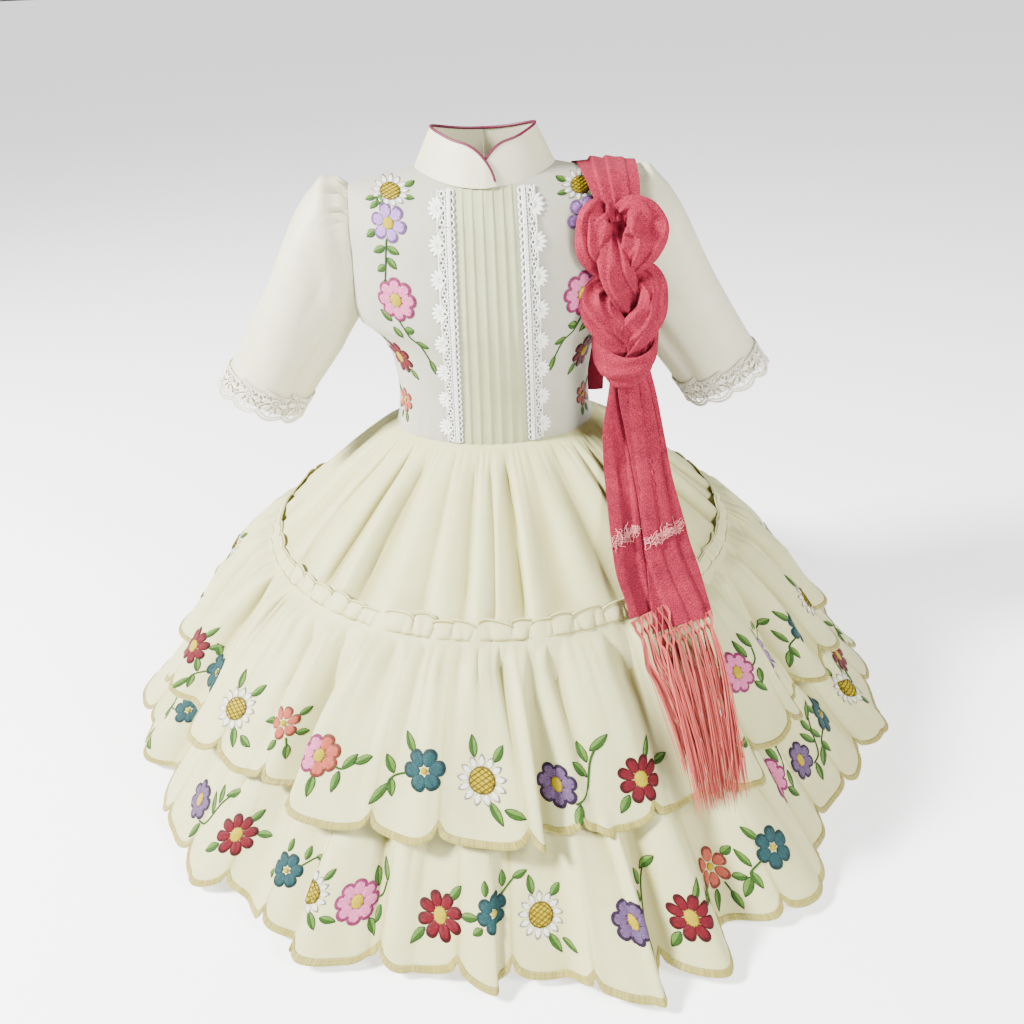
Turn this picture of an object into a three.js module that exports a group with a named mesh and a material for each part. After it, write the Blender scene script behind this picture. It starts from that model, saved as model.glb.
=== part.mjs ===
// A child's escaramuza riding dress with its rebozo, in millimetres, +Z up, front facing -Y.
// Every cloth piece is a closed wall worked out from the sizes and short tables below.
import * as THREE from 'three';

// Driving sizes. Heights in the tables are measured from the waist seam.
const SHOULDER_HEIGHT = 260;
const CLOTH = 1.4;
const GAP = 0.3;
const NECK = { half: 66.8, side: 259.5, front: 246.4, back: 252 };
const SHOULDER_TIP = { x: 132, z: 246 };
const SHOULDER_ROUND = 55;
const UNDERARM = 115;
const COLLAR = { seat: 0.8, height: 34, lean: 0.743, corner: 32, frontRadius: 60, overlap: 3.7 };
const COLLAR_END = { over: 9, under: 7 };
const PIPING = 1.3;
const CENTRE_PANEL = { bottom: 31.5, top: 27.5 };
const LACE = { middle: 12, width: 26.5, thickness: 1.2, belowCollar: 2 };
const FRILL = { seam: -119, top: -101, thickness: 1.2, ripples: 19, depth: 2.5 };
const SKIRT_FOLDS = 9;
const UPPER_TIER = { seam: -119.5, hem: -241, scallops: 18 };
const LOWER_TIER = { seam: -203.5, hem: -334, scallops: 22 };
const SCALLOP_DEPTH = 10;
const LESS_AT_BACK = 0.08;
const RESTS_OFF = 2.4;
const PLAIT = { top: 224.2, bottom: 94.4, pitch: 140, swing: 26, cross: 8.6, turn: 20, half: 11.2, thick: 4.9 };
const REBOZO_CLOTH = 2;

// Half widths and depths of the bodice at each height.
const TORSO = [
  { z: 0, half: 105, front: 80, back: 72 },
  { z: 18, half: 101, front: 80, back: 72 },
  { z: 41, half: 99.5, front: 82, back: 74 },
  { z: 77, half: 104, front: 88, back: 82 },
  { z: 104, half: 118, front: 92, back: 87 },
  { z: 115, half: 133, front: 93, back: 88 },
  { z: 135, half: 139, front: 93, back: 88 },
  { z: 160, half: 143, front: 91, back: 88 },
  { z: 215, half: 143, front: 80, back: 75 },
  { z: 246, half: 143, front: 68, back: 62 },
  { z: 275, half: 143, front: 60, back: 54 },
];

// How far the armhole edge stands from the centre plane.
const ARMHOLE = [
  { z: 115, x: 133 },
  { z: 135, x: 133 },
  { z: 175, x: 131 },
  { z: 215, x: 131 },
  { z: 246, x: 132 },
];

// The sleeve's top line, underarm line, half depth and forward swing, from armhole (0) to cuff (100).
const SLEEVE = [
  { at: 0, topX: 132.5, topZ: 246, underX: 133.5, underZ: 115, half: 36, y: 0 },
  { at: 6, topX: 143, topZ: 253.5, underX: 137, underZ: 110, half: 38, y: 0 },
  { at: 13, topX: 154, topZ: 255, underX: 143, underZ: 101.5, half: 40, y: -1 },
  { at: 22, topX: 166, topZ: 238, underX: 150, underZ: 91.5, half: 41, y: -2 },
  { at: 52, topX: 214, topZ: 164, underX: 171, underZ: 62, half: 41, y: -3 },
  { at: 88, topX: 267, topZ: 82, underX: 196, underZ: 26, half: 41, y: -5 },
  { at: 100, topX: 285, topZ: 54.4, underX: 204.3, underZ: 14.6, half: 41, y: -5 },
];
const CUFF = { cloth: 98.5, laceTop: 88, lobe: 103, cusp: 99.5 };

// The gathered skirt: half sizes at each height and the depth of its folds.
const SKIRT = [
  { z: -205, side: 310, front: 310, back: 310, fold: 0 },
  { z: -119, side: 250, front: 250, back: 250, fold: 0 },
  { z: -65, side: 192, front: 186, back: 182, fold: 6 },
  { z: -20, side: 137, front: 120, back: 114, fold: 4 },
  { z: 0, side: 105.4, front: 80.4, back: 72.4, fold: 0 },
];

// The two flounces: radius at each height and how much of the hem's folds has opened there.
const UPPER_SHAPE = [
  { z: -241, radius: 370, open: 1 },
  { z: -180, radius: 312, open: 0.6 },
  { z: -133, radius: 265, open: 0.15 },
  { z: -119, radius: 251.9, open: 0 },
];
const LOWER_SHAPE = [
  { z: -334, radius: 438, open: 1 },
  { z: -270, radius: 374, open: 0.5 },
  { z: -222, radius: 330, open: 0.1 },
  { z: -203.5, radius: 311.2, open: 0 },
];

// Crests and hollows of each flounce at its hem, from the right side seam round the front to the left one.
const UPPER_FOLDS = [
  { angle: -90, out: 4 }, { angle: -80, out: -9 }, { angle: -70, out: 8 }, { angle: -62, out: -6 },
  { angle: -54, out: 4 }, { angle: -46, out: 5 }, { angle: -40, out: -10 }, { angle: -34.5, out: -24 },
  { angle: -29.5, out: 12 }, { angle: -20, out: -6 }, { angle: -13, out: 2 }, { angle: -8, out: -6 },
  { angle: 1, out: 9 }, { angle: 5, out: -7 }, { angle: 10, out: 3 }, { angle: 17, out: -7 },
  { angle: 22, out: 1 }, { angle: 27, out: -8 }, { angle: 34, out: 12 }, { angle: 41, out: -16 },
  { angle: 48, out: -4 }, { angle: 57, out: -28 }, { angle: 66, out: -6 }, { angle: 73, out: 4 },
  { angle: 82, out: -8 }, { angle: 90, out: 4 },
];
const LOWER_FOLDS = [
  { angle: -90, out: 0 }, { angle: -81, out: -12 }, { angle: -73, out: -16 }, { angle: -65, out: -34 },
  { angle: -56, out: -16 }, { angle: -50, out: -16 }, { angle: -45, out: 1 }, { angle: -38, out: -24 },
  { angle: -33, out: -2 }, { angle: -28, out: -12 }, { angle: -24, out: 14 }, { angle: -20, out: -4 },
  { angle: -12, out: -13 }, { angle: -5, out: 6 }, { angle: -1, out: -5 }, { angle: 5, out: -8 },
  { angle: 9, out: 20 }, { angle: 12.5, out: 38 }, { angle: 16, out: 12 }, { angle: 20, out: 26 },
  { angle: 27, out: -12 }, { angle: 32, out: 12 }, { angle: 38, out: 8 }, { angle: 46, out: -24 },
  { angle: 53, out: -34 }, { angle: 60, out: -22 }, { angle: 66, out: -16 }, { angle: 72, out: 0 },
  { angle: 81, out: -10 }, { angle: 90, out: 0 },
];

// The rebozo's flat stretches: the middle of each row, its half width and the way its width points.
const REBOZO_OVER_SHOULDER = [
  { at: 0, x: 122, y: -60, z: 225, half: 19, turn: 12 },
  { at: 1, x: 120, y: -51, z: 238, half: 23, turn: 8 },
  { at: 2, x: 117, y: -30, z: 251.5, half: 26, turn: 4 },
  { at: 3, x: 116, y: 0, z: 255.7, half: 28, turn: 0 },
  { at: 4, x: 114, y: 24, z: 252.5, half: 29, turn: 0 },
];
const REBOZO_BACK = [
  { at: 0, x: 114, y: 24.4, z: 251.9, half: 29, turn: 0 },
  { at: 1, x: 113, y: 46, z: 238, half: 29, turn: 0 },
  { at: 2, x: 110, y: 63, z: 214, half: 28, turn: 0 },
  { at: 3, x: 106, y: 75, z: 186, half: 28, turn: 0 },
  { at: 4, x: 101, y: 77, z: 90, half: 27, turn: 0 },
  { at: 5, x: 98, y: 77, z: -6, half: 27, turn: 0 },
];
const REBOZO_TAIL = [
  { at: 0, x: 133, y: -69, z: 55.6, half: 21, turn: 14 },
  { at: 1, x: 136, y: -70, z: 10, half: 31, turn: 20 },
  { at: 2, x: 139, y: -80, z: -20, half: 37, turn: 28 },
  { at: 3, x: 141, y: -117, z: -45, half: 44, turn: 38 },
  { at: 4, x: 142, y: -169, z: -80, half: 50, turn: 41 },
  { at: 5, x: 147, y: -196, z: -100, half: 48, turn: 39 },
  { at: 6, x: 153, y: -221, z: -117, half: 47, turn: 37 },
  { at: 7, x: 157, y: -242, z: -131, half: 46, turn: 35 },
];
const REBOZO_FRINGE = [
  { at: 0, x: 157, y: -242.4, z: -131.3, half: 46, turn: 35 },
  { at: 1, x: 161, y: -275, z: -152, half: 44, turn: 32 },
  { at: 2, x: 164, y: -314, z: -188, half: 42, turn: 29 },
  { at: 3, x: 167, y: -352, z: -240, half: 41, turn: 27 },
];
// Where the two ends lie across the tail: the under one to its left, the over one to its right.
const ENDS = {
  under: { from: -1, to: 0.3, lift: 0 },
  over: { from: -0.25, to: 1, lift: 2.6 },
};
const FRINGE_THICKNESS = 3.5;

// The wrapped band that closes the plait.
const WRAP = [
  { z: 94, half: 25, thick: 12 },
  { z: 86, half: 31, thick: 16 },
  { z: 70, half: 30, thick: 16 },
  { z: 56, half: 21, thick: 12 },
];

const COLOURS = {
  cream: 0xf3f1e2,
  panel: 0xe6e4d2,
  lace: 0xfbfaf4,
  piping: 0xb8486c,
  coral: 0xdc6374,
  fringe: 0xe88f88,
};

const radians = (degrees) => (degrees * Math.PI) / 180;
const mix = (a, b, share) => a + (b - a) * share;
const ease = (share) => (1 - Math.cos(Math.PI * THREE.MathUtils.clamp(share, 0, 1))) / 2;

// A smooth value from one column of a table, where another column reaches a given number.
function read(table, by, column, at) {
  const last = table.length - 1;
  const slope = (i) => (table[i + 1][column] - table[i][column]) / (table[i + 1][by] - table[i][by]);
  const tangent = (i) => {
    if (i === 0) return slope(0);
    if (i === last) return slope(last - 1);
    const before = slope(i - 1);
    const after = slope(i);
    return before * after <= 0 ? 0 : (2 * before * after) / (before + after);
  };
  if (at <= table[0][by]) return table[0][column] + tangent(0) * (at - table[0][by]);
  if (at >= table[last][by]) return table[last][column] + tangent(last) * (at - table[last][by]);
  const i = table.findIndex((row) => row[by] > at) - 1;
  const step = table[i + 1][by] - table[i][by];
  const s = (at - table[i][by]) / step;
  const turnIn = (s * s * s - 2 * s * s + s) * step * tangent(i);
  const turnOut = (s * s * s - s * s) * step * tangent(i + 1);
  return mix(table[i][column], table[i + 1][column], s * s * (3 - 2 * s)) + turnIn + turnOut;
}

// How far a flounce stands out of its mean radius; the back repeats the front.
function foldAt(folds, angle) {
  const turned = ((angle + 90) % 360 + 360) % 360;
  const front = turned > 180 ? 270 - turned : turned - 90;
  const i = Math.min(folds.findIndex((row) => row.angle >= front), folds.length - 1);
  if (i <= 0) return folds[0].out;
  const share = (front - folds[i - 1].angle) / (folds[i].angle - folds[i - 1].angle);
  return mix(folds[i - 1].out, folds[i].out, ease(share));
}

// The outward direction of a surface whose first number runs anticlockwise seen from above
// and whose second runs upwards.
function outward(surface, a, b) {
  const step = 0.01;
  const across = surface(a + step, b).sub(surface(a - step, b));
  const along = surface(a, b + step).sub(surface(a, b - step));
  return across.cross(along).normalize();
}

function closedMesh(points, faces) {
  let volume = 0;
  for (const [i, j, k] of faces) volume += points[i].dot(points[j].clone().cross(points[k]));
  const turned = volume < 0 ? faces.map(([i, j, k]) => [i, k, j]) : faces;
  const geometry = new THREE.BufferGeometry();
  geometry.setFromPoints(points);
  geometry.setIndex(turned.flat());
  return geometry;
}

// A wall of cloth between two distances from a surface, through rows of [a, b] places on it.
// side is -1 where the surface's outward direction comes out inwards, around closes it to a ring,
// and trim may move a finished corner to its seam.
function wall(surface, cells, near, far, { side = 1, around = false, trim } = {}) {
  const rows = cells.length;
  const columns = cells[0].length;
  const points = [];
  for (const distance of [far, near]) {
    cells.forEach((row, r) => row.forEach(([a, b], c) => {
      const point = surface(a, b).addScaledVector(outward(surface, a, b), side * distance);
      if (trim) trim(point, r, c);
      points.push(point);
    }));
  }
  const faces = [];
  const quad = (i, j, k, l) => faces.push([i, j, k], [i, k, l]);
  const outer = (r, c) => r * columns + (c % columns);
  const inner = (r, c) => rows * columns + outer(r, c);
  const spans = around ? columns : columns - 1;
  for (let r = 0; r < rows - 1; r++) {
    for (let c = 0; c < spans; c++) {
      quad(outer(r, c), outer(r, c + 1), outer(r + 1, c + 1), outer(r + 1, c));
      quad(inner(r, c), inner(r + 1, c), inner(r + 1, c + 1), inner(r, c + 1));
    }
  }
  for (let c = 0; c < spans; c++) {
    quad(inner(0, c), inner(0, c + 1), outer(0, c + 1), outer(0, c));
    quad(outer(rows - 1, c), outer(rows - 1, c + 1), inner(rows - 1, c + 1), inner(rows - 1, c));
  }
  if (!around) {
    for (let r = 0; r < rows - 1; r++) {
      quad(outer(r, 0), outer(r + 1, 0), inner(r + 1, 0), inner(r, 0));
      quad(inner(r, columns - 1), inner(r + 1, columns - 1), outer(r + 1, columns - 1), outer(r, columns - 1));
    }
  }
  return closedMesh(points, faces);
}

// A solid through closed rings of points, capped at both ends.
function throughRings(rings) {
  const count = rings[0].length;
  const points = rings.flat();
  const faces = [];
  for (let r = 0; r < rings.length - 1; r++) {
    for (let c = 0; c < count; c++) {
      const next = (c + 1) % count;
      faces.push([r * count + c, r * count + next, (r + 1) * count + next]);
      faces.push([r * count + c, (r + 1) * count + next, (r + 1) * count + c]);
    }
  }
  const end = (rings.length - 1) * count;
  for (let c = 1; c < count - 1; c++) {
    faces.push([0, c + 1, c]);
    faces.push([end, end + c, end + c + 1]);
  }
  return closedMesh(points, faces);
}

function mirrored(geometry) {
  const turned = geometry.clone().scale(-1, 1, 1);
  const index = Array.from(turned.getIndex().array);
  for (let i = 0; i < index.length; i += 3) [index[i + 1], index[i + 2]] = [index[i + 2], index[i + 1]];
  turned.setIndex(index);
  return turned;
}

const dress = new THREE.Group();
const fromWaist = new THREE.Group();
fromWaist.position.z = -SHOULDER_HEIGHT;
dress.add(fromWaist);

function sew(name, geometry, colour, roughness = 0.8) {
  const material = new THREE.MeshStandardMaterial({ color: colour, roughness, metalness: 0, flatShading: true });
  const piece = new THREE.Mesh(geometry, material);
  piece.name = name;
  fromWaist.add(piece);
}

// ---- Bodice ----

const shoulderLine = (x) => {
  const fall = (NECK.side - SHOULDER_TIP.z) / (SHOULDER_TIP.x - NECK.half);
  return NECK.side - (Math.abs(x) - NECK.half) * fall;
};

// The bodice's outer face: angle in degrees from the centre line, face -1 in front and 1 behind.
function torso(angle, z, face) {
  const x = read(TORSO, 'z', 'half', z) * Math.sin(radians(angle));
  const below = THREE.MathUtils.clamp((shoulderLine(x) - z) / SHOULDER_ROUND, 0, 1);
  const round = Math.sqrt(1 - (1 - below) ** 2);
  const depth = read(TORSO, 'z', face < 0 ? 'front' : 'back', z);
  return new THREE.Vector3(x, face * depth * Math.cos(radians(angle)) * round, z);
}

const angleOf = (x, z) => {
  const share = THREE.MathUtils.clamp(x / read(TORSO, 'z', 'half', z), -1, 1);
  return THREE.MathUtils.radToDeg(Math.asin(share));
};
const outerAngle = (z) => (z <= UNDERARM ? 90 : angleOf(read(ARMHOLE, 'z', 'x', z), z));

function topEdge(x, face) {
  if (x >= NECK.half) return shoulderLine(x);
  const level = face < 0 ? NECK.front : NECK.back;
  return level + (NECK.side - level) * (x / NECK.half) ** 2;
}

const panelEdge = (z) => mix(CENTRE_PANEL.bottom, CENTRE_PANEL.top, z / NECK.front);
const BODICE_ROWS = [0, 0.155, 0.31, 0.42, 0.467, 0.56, 0.68, 0.8, 0.9, 0.965, 1];

// A column of a bodice panel: its places from the waist up, for a rule that gives its angle at a height.
function bodiceColumn(angleAt, face) {
  let top = NECK.side;
  for (let tries = 0; tries < 8; tries++) {
    const x = read(TORSO, 'z', 'half', top) * Math.sin(radians(angleAt(top)));
    top = topEdge(Math.min(x, SHOULDER_TIP.x), face);
  }
  return BODICE_ROWS.map((share) => {
    const z = mix(GAP / 2, top, share);
    return [angleAt(z), z];
  });
}

const across = (columns) => columns[0].map((_, r) => columns.map((column) => column[r]));

// Columns from an inner rule out to the side seam and armhole, one of them through the neck point.
function columnsTo(inner, face, shares) {
  const neckStart = inner(NECK.side);
  const neckShare = (angleOf(NECK.half, NECK.side) - neckStart) / (outerAngle(SHOULDER_TIP.z) - neckStart);
  return [neckShare, ...shares]
    .sort((a, b) => a - b)
    .map((share) => bodiceColumn((z) => mix(inner(z), outerAngle(z), share), face));
}

const front = (angle, z) => torso(angle, z, -1);
const back = (angle, z) => torso(-angle, z, 1);

function sideTrim(face, last) {
  return (point, r, c) => {
    const onShoulder = r === BODICE_ROWS.length - 1 && Math.abs(point.x) >= NECK.half - 1;
    if (onShoulder || (c === last && BODICE_ROWS[r] <= 0.467)) point.y = (face * GAP) / 2;
    if (face > 0 && c === 0) point.x = GAP / 2;
  };
}

const laceColumns = [GAP / 2, LACE.middle, LACE.width].map((out) =>
  bodiceColumn((z) => angleOf(panelEdge(z) + out, z), -1));
const frontColumns = [
  ...laceColumns,
  ...columnsTo((z) => angleOf(panelEdge(z) + LACE.width, z), -1, [0.4, 0.6, 0.8, 1]),
];
const frontSide = wall(front, across(frontColumns), -CLOTH, 0, { trim: sideTrim(-1, frontColumns.length - 1) });
sew('bodice_front_left', frontSide, COLOURS.cream);
sew('bodice_front_right', mirrored(frontSide), COLOURS.cream);

const centreColumns = [-1, -0.5, 0, 0.5, 1].map((share) =>
  bodiceColumn((z) => angleOf(share * (panelEdge(z) - GAP / 2), z), -1));
sew('bodice_front_centre', wall(front, across(centreColumns), -CLOTH, 0), COLOURS.panel);

const backColumns = [bodiceColumn(() => 0, 1), ...columnsTo(() => 0, 1, [0.2, 0.62, 0.82, 1])];
const backCells = across(backColumns).map((row) => row.map(([angle, z]) => [-angle, z]));
const backSide = wall(back, backCells, -CLOTH, 0, { side: 1, trim: sideTrim(1, backColumns.length - 1) });
sew('bodice_back_left', backSide, COLOURS.cream);
sew('bodice_back_right', mirrored(backSide), COLOURS.cream);

const laceCells = across(laceColumns);
const laceTop = laceCells.pop().map(([angle, z]) => [angle, z - LACE.belowCollar]);
const laceStrip = wall(front, [...laceCells, laceTop], GAP, GAP + LACE.thickness);
sew('lace_strip_left', laceStrip, COLOURS.lace, 0.9);
sew('lace_strip_right', mirrored(laceStrip), COLOURS.lace, 0.9);

// ---- Stand collar with its piping ----

// turn is the angle round the neck from the front, share the way up the collar, lift the stand-off.
function collar(turn, share, lift = 0) {
  const x = NECK.half * Math.sin(radians(turn));
  const face = Math.cos(radians(turn)) >= 0 ? -1 : 1;
  const z = topEdge(Math.min(Math.abs(x), NECK.half - 1e-6), face);
  const base = torso(angleOf(x, z), z, face);
  const lean = mix(1, COLLAR.lean, share) * (1 + lift / NECK.half);
  return new THREE.Vector3(base.x * lean, base.y * lean, z + COLLAR.seat + share * COLLAR.height);
}

// The rounded front corner, then places on round to the centre back.
const CORNER_STEPS = [4, 16, 32, 50, 70, 90];
const COLLAR_STEPS = [45, 62, 80, 100, 125, 152];

function collarHalf(overlap, lift) {
  const start = -THREE.MathUtils.radToDeg(Math.asin(overlap / NECK.half));
  const surface = (turn, share) => collar(turn, share, lift * (1 - ease((turn - 15) / 30)));
  const columns = CORNER_STEPS.map((step) => {
    const along = COLLAR.corner * (1 - Math.cos(radians(step)));
    return { turn: start + THREE.MathUtils.radToDeg(along / COLLAR.frontRadius), top: Math.sin(radians(step)) };
  });
  for (const turn of [...COLLAR_STEPS, 179.8]) columns.push({ turn, top: 1 });
  const cells = [0, 0.5, 1].map((share) => columns.map(({ turn, top }) => [turn, top * share]));
  const cloth = wall((turn, share) => surface(turn, share), cells, -CLOTH, 0, {
    trim: (point, r, c) => {
      if (c === columns.length - 1) point.x = GAP / 2;
    },
  });
  const edge = columns.filter(({ top }) => top > 0.1);
  const rings = edge.map(({ turn, top }, i) => {
    const here = surface(turn, top);
    const before = edge[Math.max(i - 1, 0)];
    const after = edge[Math.min(i + 1, edge.length - 1)];
    const along = surface(after.turn, after.top).sub(surface(before.turn, before.top)).normalize();
    const out = outward(surface, turn, top);
    const off = out.clone().cross(along).normalize();
    const centre = here.addScaledVector(off, PIPING + GAP).addScaledVector(out, -CLOTH / 2);
    return [0, 60, 120, 180, 240, 300].map((angle) => {
      const point = centre.clone().addScaledVector(off, PIPING * Math.cos(radians(angle)));
      point.addScaledVector(out, PIPING * Math.sin(radians(angle)));
      if (i === edge.length - 1) point.x = GAP / 2;
      return point;
    });
  });
  return { cloth, piping: throughRings(rings) };
}

const underHalf = collarHalf(COLLAR_END.under, 0);
const overHalf = collarHalf(COLLAR_END.over, COLLAR.overlap);
sew('collar_left', underHalf.cloth, COLOURS.cream);
sew('collar_right', mirrored(overHalf.cloth), COLOURS.cream);
sew('collar_piping_left', underHalf.piping, COLOURS.piping, 0.5);
sew('collar_piping_right', mirrored(overHalf.piping), COLOURS.piping, 0.5);

// ---- Sleeves with their lace cuffs ----

// The armhole's edge: 0 at the underarm, 90 in front, 180 at the shoulder.
function armhole(turn) {
  const z = mix(UNDERARM, SHOULDER_TIP.z, (1 - Math.cos(radians(turn))) / 2);
  const face = Math.sin(radians(turn)) >= 0 ? -1 : 1;
  return torso(outerAngle(z + 1e-9), z, face);
}

function sleeve(turn, at) {
  const row = (column) => read(SLEEVE, 'at', column, at);
  const cos = Math.cos(radians(turn));
  const sin = Math.sin(radians(turn));
  const oval = (topX, topZ, underX, underZ, half, y) =>
    new THREE.Vector3(mix(topX, underX, (1 + cos) / 2), y - half * sin, mix(topZ, underZ, (1 + cos) / 2));
  const seat = SLEEVE[0];
  const atSeam = oval(seat.topX, seat.topZ, seat.underX, seat.underZ, seat.half, seat.y);
  const fit = armhole(turn).sub(atSeam).add(new THREE.Vector3(GAP + 0.2, 0, 0));
  const place = oval(row('topX'), row('topZ'), row('underX'), row('underZ'), row('half'), row('y'));
  return place.addScaledVector(fit, 1 - ease(at / 20));
}

const SLEEVE_TURNS = Array.from({ length: 18 }, (_, i) => i * 20);
const ringsAt = (places) => places.map((at) => SLEEVE_TURNS.map((turn) => [turn, at]));
const sleeveWall = wall(sleeve, ringsAt([0, 6, 13, 22, 52, CUFF.laceTop, CUFF.cloth]), -CLOTH, 0, {
  side: -1,
  around: true,
  trim: (point, r) => {
    if (r === 0) point.x = Math.max(point.x, SHOULDER_TIP.x - 1 + GAP + 0.2);
  },
});
sew('sleeve_left', sleeveWall, COLOURS.cream);
sew('sleeve_right', mirrored(sleeveWall), COLOURS.cream);

const cuffEdge = SLEEVE_TURNS.map((turn, i) => [turn, i % 2 ? CUFF.lobe : CUFF.cusp]);
const cuffLace = wall(sleeve, [...ringsAt([CUFF.laceTop]), cuffEdge], GAP, GAP + LACE.thickness, {
  side: -1,
  around: true,
});
sew('cuff_lace_left', cuffLace, COLOURS.lace, 0.9);
sew('cuff_lace_right', mirrored(cuffLace), COLOURS.lace, 0.9);

// ---- Skirt and flounces ----

function skirt(angle, z) {
  const sin = Math.sin(radians(angle));
  const cos = Math.cos(radians(angle));
  const uneven = 25 * Math.sin(radians(3 * angle + 40));
  const fold = read(SKIRT, 'z', 'fold', z) * Math.cos(radians(2 * SKIRT_FOLDS * angle + uneven));
  const depth = read(SKIRT, 'z', cos > 0 ? 'front' : 'back', z);
  return new THREE.Vector3((read(SKIRT, 'z', 'side', z) + fold) * sin, -(depth + fold) * cos, z);
}

function flounceRadius(shape, folds, angle, z) {
  const seam = shape.at(-1).radius;
  const out = foldAt(folds, angle) * Math.max(read(shape, 'z', 'open', z), 0);
  const less = 1 - (LESS_AT_BACK * (1 - Math.cos(radians(angle))) ** 2) / 4;
  return seam + (read(shape, 'z', 'radius', z) + out - seam) * less;
}

const onRing = (radius, angle, z) =>
  new THREE.Vector3(radius * Math.sin(radians(angle)), -radius * Math.cos(radians(angle)), z);
const lowerFlounce = (angle, z) => onRing(flounceRadius(LOWER_SHAPE, LOWER_FOLDS, angle, z), angle, z);

// The upper flounce hangs free, but rests on the skirt and the lower flounce where its folds turn in.
function upperFlounce(angle, z) {
  const onSkirt = z > LOWER_TIER.seam;
  const under = onSkirt ? read(SKIRT, 'z', 'side', z) : flounceRadius(LOWER_SHAPE, LOWER_FOLDS, angle, z);
  const free = flounceRadius(UPPER_SHAPE, UPPER_FOLDS, angle, z);
  return onRing(Math.max(free, under + RESTS_OFF), angle, z);
}

function frill(angle, z) {
  const up = (z - FRILL.seam) / (FRILL.top - FRILL.seam);
  const ripple = FRILL.depth * up * Math.cos(radians(2 * FRILL.ripples * angle));
  const radius = mix(UPPER_SHAPE.at(-1).radius, read(SKIRT, 'z', 'side', FRILL.top) + 7, up) + ripple;
  return onRing(radius, angle, z);
}

const anglesOf = (start, steps) => Array.from({ length: steps + 1 }, (_, i) => start + (180 * i) / steps);

for (const [half, start, face] of [['front', -90, -1], ['back', 90, 1]]) {
  const toSideSeam = (last) => ({
    trim: (point, r, c) => {
      if (c === 0 || c === last) point.y = (face * GAP) / 2;
    },
  });
  const skirtAngles = anglesOf(start, 4 * SKIRT_FOLDS);
  const skirtCells = [-205, -119, -65, -20, -GAP / 2].map((z) => skirtAngles.map((angle) => [angle, z]));
  sew(`skirt_${half}`, wall(skirt, skirtCells, -CLOTH, 0, toSideSeam(skirtAngles.length - 1)), COLOURS.cream);

  const frillAngles = anglesOf(start, 2 * FRILL.ripples);
  const frillCells = [FRILL.seam, FRILL.top].map((z) => frillAngles.map((angle) => [angle, z]));
  const frillTrim = toSideSeam(frillAngles.length - 1);
  sew(`upper_flounce_heading_${half}`, wall(frill, frillCells, -FRILL.thickness, 0, frillTrim), COLOURS.cream);

  const flounces = [
    ['upper', UPPER_TIER, upperFlounce, [0.3, 0.7]],
    ['lower', LOWER_TIER, lowerFlounce, [0.45]],
  ];
  for (const [tier, size, surface, rows] of flounces) {
    const angles = anglesOf(start, 3 * size.scallops);
    const hem = angles.map((angle, i) => [angle, size.hem + (i % 3 === 0 ? 0.6 : -0.4) * SCALLOP_DEPTH]);
    const between = rows.map((share) => angles.map((angle) => [angle, mix(size.seam, size.hem, share)]));
    const cells = [hem, ...between.reverse(), angles.map((angle) => [angle, size.seam])];
    const cloth = wall(surface, cells, -CLOTH, 0, toSideSeam(angles.length - 1));
    sew(`${tier}_flounce_${half}`, cloth, COLOURS.cream);
  }
}

// ---- Rebozo: over the left shoulder, plaited in front, its two fringed ends lying on the skirt ----

// across runs from -1 at the stretch's right edge to 1 at its left edge, at along its table.
const stretch = (table) => (across, at) => {
  const row = (column) => read(table, 'at', column, at);
  const reach = row('half') * across;
  const turn = radians(row('turn'));
  return new THREE.Vector3(row('x') + reach * Math.cos(turn), row('y') + reach * Math.sin(turn), row('z'));
};
const stretchCells = (table, places) => table.map(({ at }) => places.map((place) => [place, at]));

const overShoulder = wall(stretch(REBOZO_OVER_SHOULDER), stretchCells(REBOZO_OVER_SHOULDER, [-1, 0, 1]), 0, 3);
sew('rebozo_over_shoulder', overShoulder, COLOURS.coral, 0.85);
const downBack = wall(stretch(REBOZO_BACK), stretchCells(REBOZO_BACK, [-1, 1]), 0, 3);
sew('rebozo_back', downBack, COLOURS.coral, 0.85);

// One strand of the plait, cut level at each height.
function strand(phase) {
  const steps = 16;
  const lean = radians(PLAIT.turn);
  return throughRings(Array.from({ length: steps + 1 }, (_, i) => {
    const share = i / steps;
    const z = mix(PLAIT.top, PLAIT.bottom, share);
    const turn = (2 * Math.PI * (PLAIT.top - z)) / PLAIT.pitch + radians(phase);
    const steepness = ((2 * Math.PI * PLAIT.swing) / PLAIT.pitch) * Math.cos(turn);
    const half = PLAIT.half * Math.hypot(1, steepness);
    return Array.from({ length: 8 }, (_, k) => {
      const angle = (k * Math.PI) / 4;
      const sideways = PLAIT.swing * Math.sin(turn) + half * Math.cos(angle);
      const forward = PLAIT.cross * Math.sin(2 * turn) + PLAIT.thick * Math.sin(angle);
      const x = mix(122, 131, share) + sideways * Math.cos(lean) + forward * Math.sin(lean);
      const y = -70 + sideways * Math.sin(lean) - forward * Math.cos(lean);
      return new THREE.Vector3(x, y, z);
    });
  }));
}
for (const [name, phase] of [['a', 0], ['b', 120], ['c', 240]]) {
  sew(`rebozo_plait_strand_${name}`, strand(phase), COLOURS.coral, 0.85);
}

const wrapRings = WRAP.map(({ z, half, thick }) => Array.from({ length: 12 }, (_, k) => {
  const angle = (k * Math.PI) / 6;
  return new THREE.Vector3(131 + half * Math.cos(angle), -68 + thick * Math.sin(angle), z);
}));
sew('rebozo_wrap', throughRings(wrapRings), COLOURS.coral, 0.85);

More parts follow.
